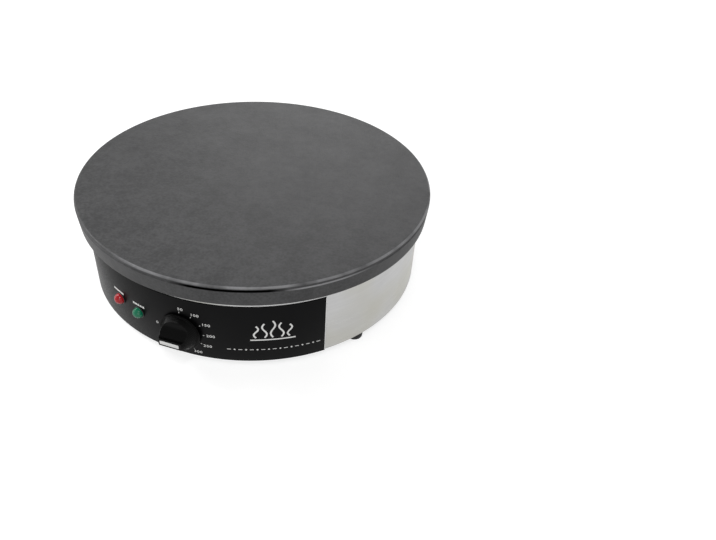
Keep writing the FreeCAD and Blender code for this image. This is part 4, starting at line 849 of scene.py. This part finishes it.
class CREPE_OT_gland(bpy.types.Operator):
    """Turns the cap nut of the cable gland at the back and ribs it for the fingers"""

    bl_idname = "crepe.gland"
    bl_label = "Gland cap nut"

    def execute(self, context):
        start, end, seat = 5.1 * MM, CAP_HIGH[1] - DRUM_R, 15.1 * MM
        bore, outside, nose, mouth = 9.05 * MM, 11.5 * MM, 9.2 * MM, 5.75 * MM
        outline = rounded_outline(
            [(bore, start), (outside, start), (outside, end - 4 * MM), (nose, end), (mouth, end),
             (mouth, seat), (bore, seat)],
            [0.1 * MM, 0.5 * MM, 2.5 * MM, 1.5 * MM, 1 * MM, 0.1 * MM, 0.1 * MM], 8)
        # Points no more than 1.2 mm apart along the outline, so that the ribs can fade in.
        fine = [outline[:1]]
        for a, b in zip(outline, outline[1:]):
            count = max(2, int(np.linalg.norm(b - a) / (1.2 * MM)) + 1)
            fine.append(a + (b - a) * np.linspace(0, 1, count)[1:, None])
        outline = np.concatenate(fine)
        # Twenty ribs: the radius falls by up to 0.45 mm between them, and not at all inside 9.4 mm.
        steps, ribs, rib_deep, rib_start, rib_fade = 240, 20, 0.45 * MM, 9.4 * MM, 1.2 * MM
        points, faces = lathe(outline, steps)
        turn = np.tile(np.linspace(0, 2 * pi, steps, endpoint=False), len(outline))
        radius = np.hypot(points[:, 0], points[:, 1])
        skin = np.clip((radius - rib_start) / rib_fade, 0, 1)
        rib = rib_deep * (0.5 - 0.5 * np.cos(ribs * turn)) ** 2 * skin
        points[:, :2] *= (1 - rib / radius)[:, None]
        cap = facing_out((points, faces), pi, DRUM_R, GLAND_Z)
        build("gland_nut", [cap], FIXED, "gland_nylon", ["gland_cap"], sharp=32.0)
        return {"FINISHED"}


class CREPE_OT_inside(bpy.types.Operator):
    """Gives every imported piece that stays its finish: the works inside, the base cover, screws and gland body"""

    bl_idname = "crepe.inside"
    bl_label = "Inner pieces"

    def execute(self, context):
        slots = {row["node"]: row["material_slot"] for row in frame["record"]["subparts"]}
        for name, carried in frame["nodes"].items():
            for place in carried.material_slots:
                place.material = material_for(slots[name])
        return {"FINISHED"}


def turned(axis, degrees):
    """Rotation matrix about one axis."""
    return Matrix.Rotation(radians(degrees), 3, axis)


class CREPE_OT_stage(bpy.types.Operator):
    """Sets the white floor, the soft lamps and the camera at the photograph's angle"""

    bl_idname = "crepe.stage"
    bl_label = "Studio"

    def execute(self, context):
        scene = context.scene
        self.floor(scene)
        self.world(scene)
        self.lamps(scene)
        self.camera(scene)
        scene.view_settings.view_transform = "Standard"
        return {"FINISHED"}

    def floor(self, scene):
        """Wide white floor that looks plain white and still takes the object's shadow."""
        material, tree = shader("studio paper, rolled white")
        path = node(tree, "LightPath").node.outputs
        seen = node(tree, "Math", {"operation": "MAXIMUM"}, {0: path["Is Camera Ray"], 1: path["Is Glossy Ray"]})
        seen = node(tree, "Math", {"operation": "MAXIMUM"}, {0: seen, 1: path["Is Transmission Ray"]})
        seen = node(tree, "Math", {"operation": "MULTIPLY_ADD", 1: -0.3}, {0: path["Is Glossy Ray"], 2: seen})
        place = node(tree, "TexCoord", out="Object")
        away = node(tree, "VectorMath", {"operation": "LENGTH"}, {0: place}, out="Value")
        level = node(tree, "MapRange", {"From Min": 0.5, "From Max": 2.5, "To Min": 0.72, "To Max": 0.92},
                     {"Value": away})
        glow = node(tree, "Emission", {"Color": scene.crepe_colours.floor},
                    {"Strength": node(tree, "Math", {"operation": "MULTIPLY"}, {0: seen, 1: level})})
        grain = node(tree, "TexNoise", {"Scale": 1 / (30 * MM), "Detail": 1.0}, {"Vector": place})
        tone = node(tree, "MixRGB", {"Color1": linear("#B4B4B4"), "Color2": linear("#B8B8B8")}, {"Fac": grain})
        paper = node(tree, "BsdfDiffuse", links={"Color": tone})
        both = node(tree, "AddShader", links={0: glow, 1: paper})
        node(tree, "OutputMaterial", links={"Surface": both})
        half = 6.0
        points = np.array([(-half, -half, 0), (half, -half, 0), (half, half, 0), (-half, half, 0)]) - (0, 0, 0.05 * MM)
        mesh = bpy.data.meshes.new("floor")
        mesh.from_pydata(points.tolist(), [], [(0, 1, 2, 3)])
        mesh.materials.append(material)
        floor = bpy.data.objects.new("floor", mesh)
        scene.collection.objects.link(floor)

    def world(self, scene):
        """White surroundings to the eye and in reflections, and a plain level of light on the object."""
        world = bpy.data.worlds.new("studio")
        scene.world = world
        world.use_nodes = True
        tree = world.node_tree
        tree.nodes.clear()
        path = node(tree, "LightPath").node.outputs
        seen = node(tree, "Math", {"operation": "MAXIMUM"}, {0: path["Is Camera Ray"], 1: path["Is Transmission Ray"]})
        shine = node(tree, "Math", {"operation": "MULTIPLY", 1: 0.6}, {0: path["Is Glossy Ray"]})
        seen = node(tree, "Math", {"operation": "MAXIMUM"}, {0: seen, 1: shine})
        strength = node(tree, "Math", {"operation": "MAXIMUM", 1: 0.5}, {0: seen})
        sky = node(tree, "Background", {"Color": (1, 1, 1, 1)}, {"Strength": strength})
        node(tree, "OutputWorld", links={"Surface": sky})

    def lamps(self, scene):
        """Soft boxes aimed at the object: a key at the left, one above the front, one behind and two low fills."""
        boxes = (  # name, place in metres, width in metres, power in watts
            ("key softbox", (-1.35, 0.0, 1.05), 0.5, 10.0),
            ("front softbox", (0.45, -1.0, 1.8), 0.4, 6.5),
            ("back softbox", (-0.4, 1.5, 1.1), 1.2, 7.0),
            ("low front softbox", (0.7, -1.7, 0.5), 1.0, 4.5),
            ("low left softbox", (-1.6, -0.5, 0.45), 0.8, 3.5),
        )
        for name, place, width, power in boxes:
            light = bpy.data.lights.new(name, "AREA")
            light.shape = "SQUARE"
            light.size = width
            light.energy = power
            lamp = bpy.data.objects.new(name, light)
            from_middle = Vector(place) - Vector((0, 0, 0.06))
            lamp.matrix_world = Matrix.Translation(place) @ from_middle.to_track_quat("Z", "Y").to_matrix().to_4x4()
            scene.collection.objects.link(lamp)

    def camera(self, scene):
        """Camera that sees the plate's centre at its place in the picture, from the photograph's angle."""
        width_px, height_px, focal_px = 716, 540, 700.0
        centre_px = (257.5, 176.6)
        distance, elevation, roll, azimuth = 0.822, 30.97, -1.36, 25.3
        look = Vector([(centre_px[0] - width_px / 2) / focal_px, (centre_px[1] - height_px / 2) / focal_px, 1.0])
        look.normalize()
        aim = Vector((0, 0, 1)).rotation_difference(look).to_matrix()
        to_camera = aim @ turned("Z", roll) @ turned("X", 90 + elevation) @ turned("Z", -azimuth)
        place = Vector((0, 0, PLATE_HIGH[2])) - to_camera.inverted() @ look * distance
        to_camera = Matrix.Diagonal((1, -1, -1)) @ to_camera    # Blender's camera looks down its own -Z, with Y up
        data = bpy.data.cameras.new("camera")
        data.sensor_width = 36.0
        data.lens = data.sensor_width * focal_px / width_px
        data.clip_start = 0.01
        camera = bpy.data.objects.new("camera", data)
        camera.matrix_world = Matrix.Translation(place) @ to_camera.inverted().to_4x4()
        scene.collection.objects.link(camera)
        scene.camera = camera


class CREPE_PT_panel(bpy.types.Panel):
    """Lists the steps that build the crepe maker"""

    bl_idname = "CREPE_PT_panel"
    bl_label = "Crepe maker"
    bl_space_type = "VIEW_3D"
    bl_region_type = "UI"
    bl_category = "Crepe maker"

    def draw(self, context):
        for step in STEPS:
            self.layout.operator(step.bl_idname)


STEPS = (
    CREPE_OT_stage, CREPE_OT_inside, CREPE_OT_plate, CREPE_OT_drum, CREPE_OT_panel, CREPE_OT_print,
    CREPE_OT_knob, CREPE_OT_inlay, CREPE_OT_lamps, CREPE_OT_feet, CREPE_OT_gland,
)
CLASSES = (CrepeSizes, CrepeColours) + STEPS + (CREPE_PT_panel,)


def register():
    """Registers the classes and hangs the settings on the scene."""
    for cls in CLASSES:
        bpy.utils.register_class(cls)
    bpy.types.Scene.crepe_sizes = bpy.props.PointerProperty(type=CrepeSizes)
    bpy.types.Scene.crepe_colours = bpy.props.PointerProperty(type=CrepeColours)


def unregister():
    """Takes the settings and classes away again."""
    del bpy.types.Scene.crepe_colours
    del bpy.types.Scene.crepe_sizes
    for cls in reversed(CLASSES):
        bpy.utils.unregister_class(cls)


def main():
    """Builds everything in order."""
    register()
    bpy.ops.crepe.stage()
    bpy.ops.crepe.inside()
    bpy.ops.crepe.plate()
    bpy.ops.crepe.drum()
    bpy.ops.crepe.panel()
    bpy.ops.crepe.print()
    bpy.ops.crepe.knob()
    bpy.ops.crepe.inlay()
    bpy.ops.crepe.lamps()
    bpy.ops.crepe.feet()
    bpy.ops.crepe.gland()


if __name__ == "__main__":
    main()
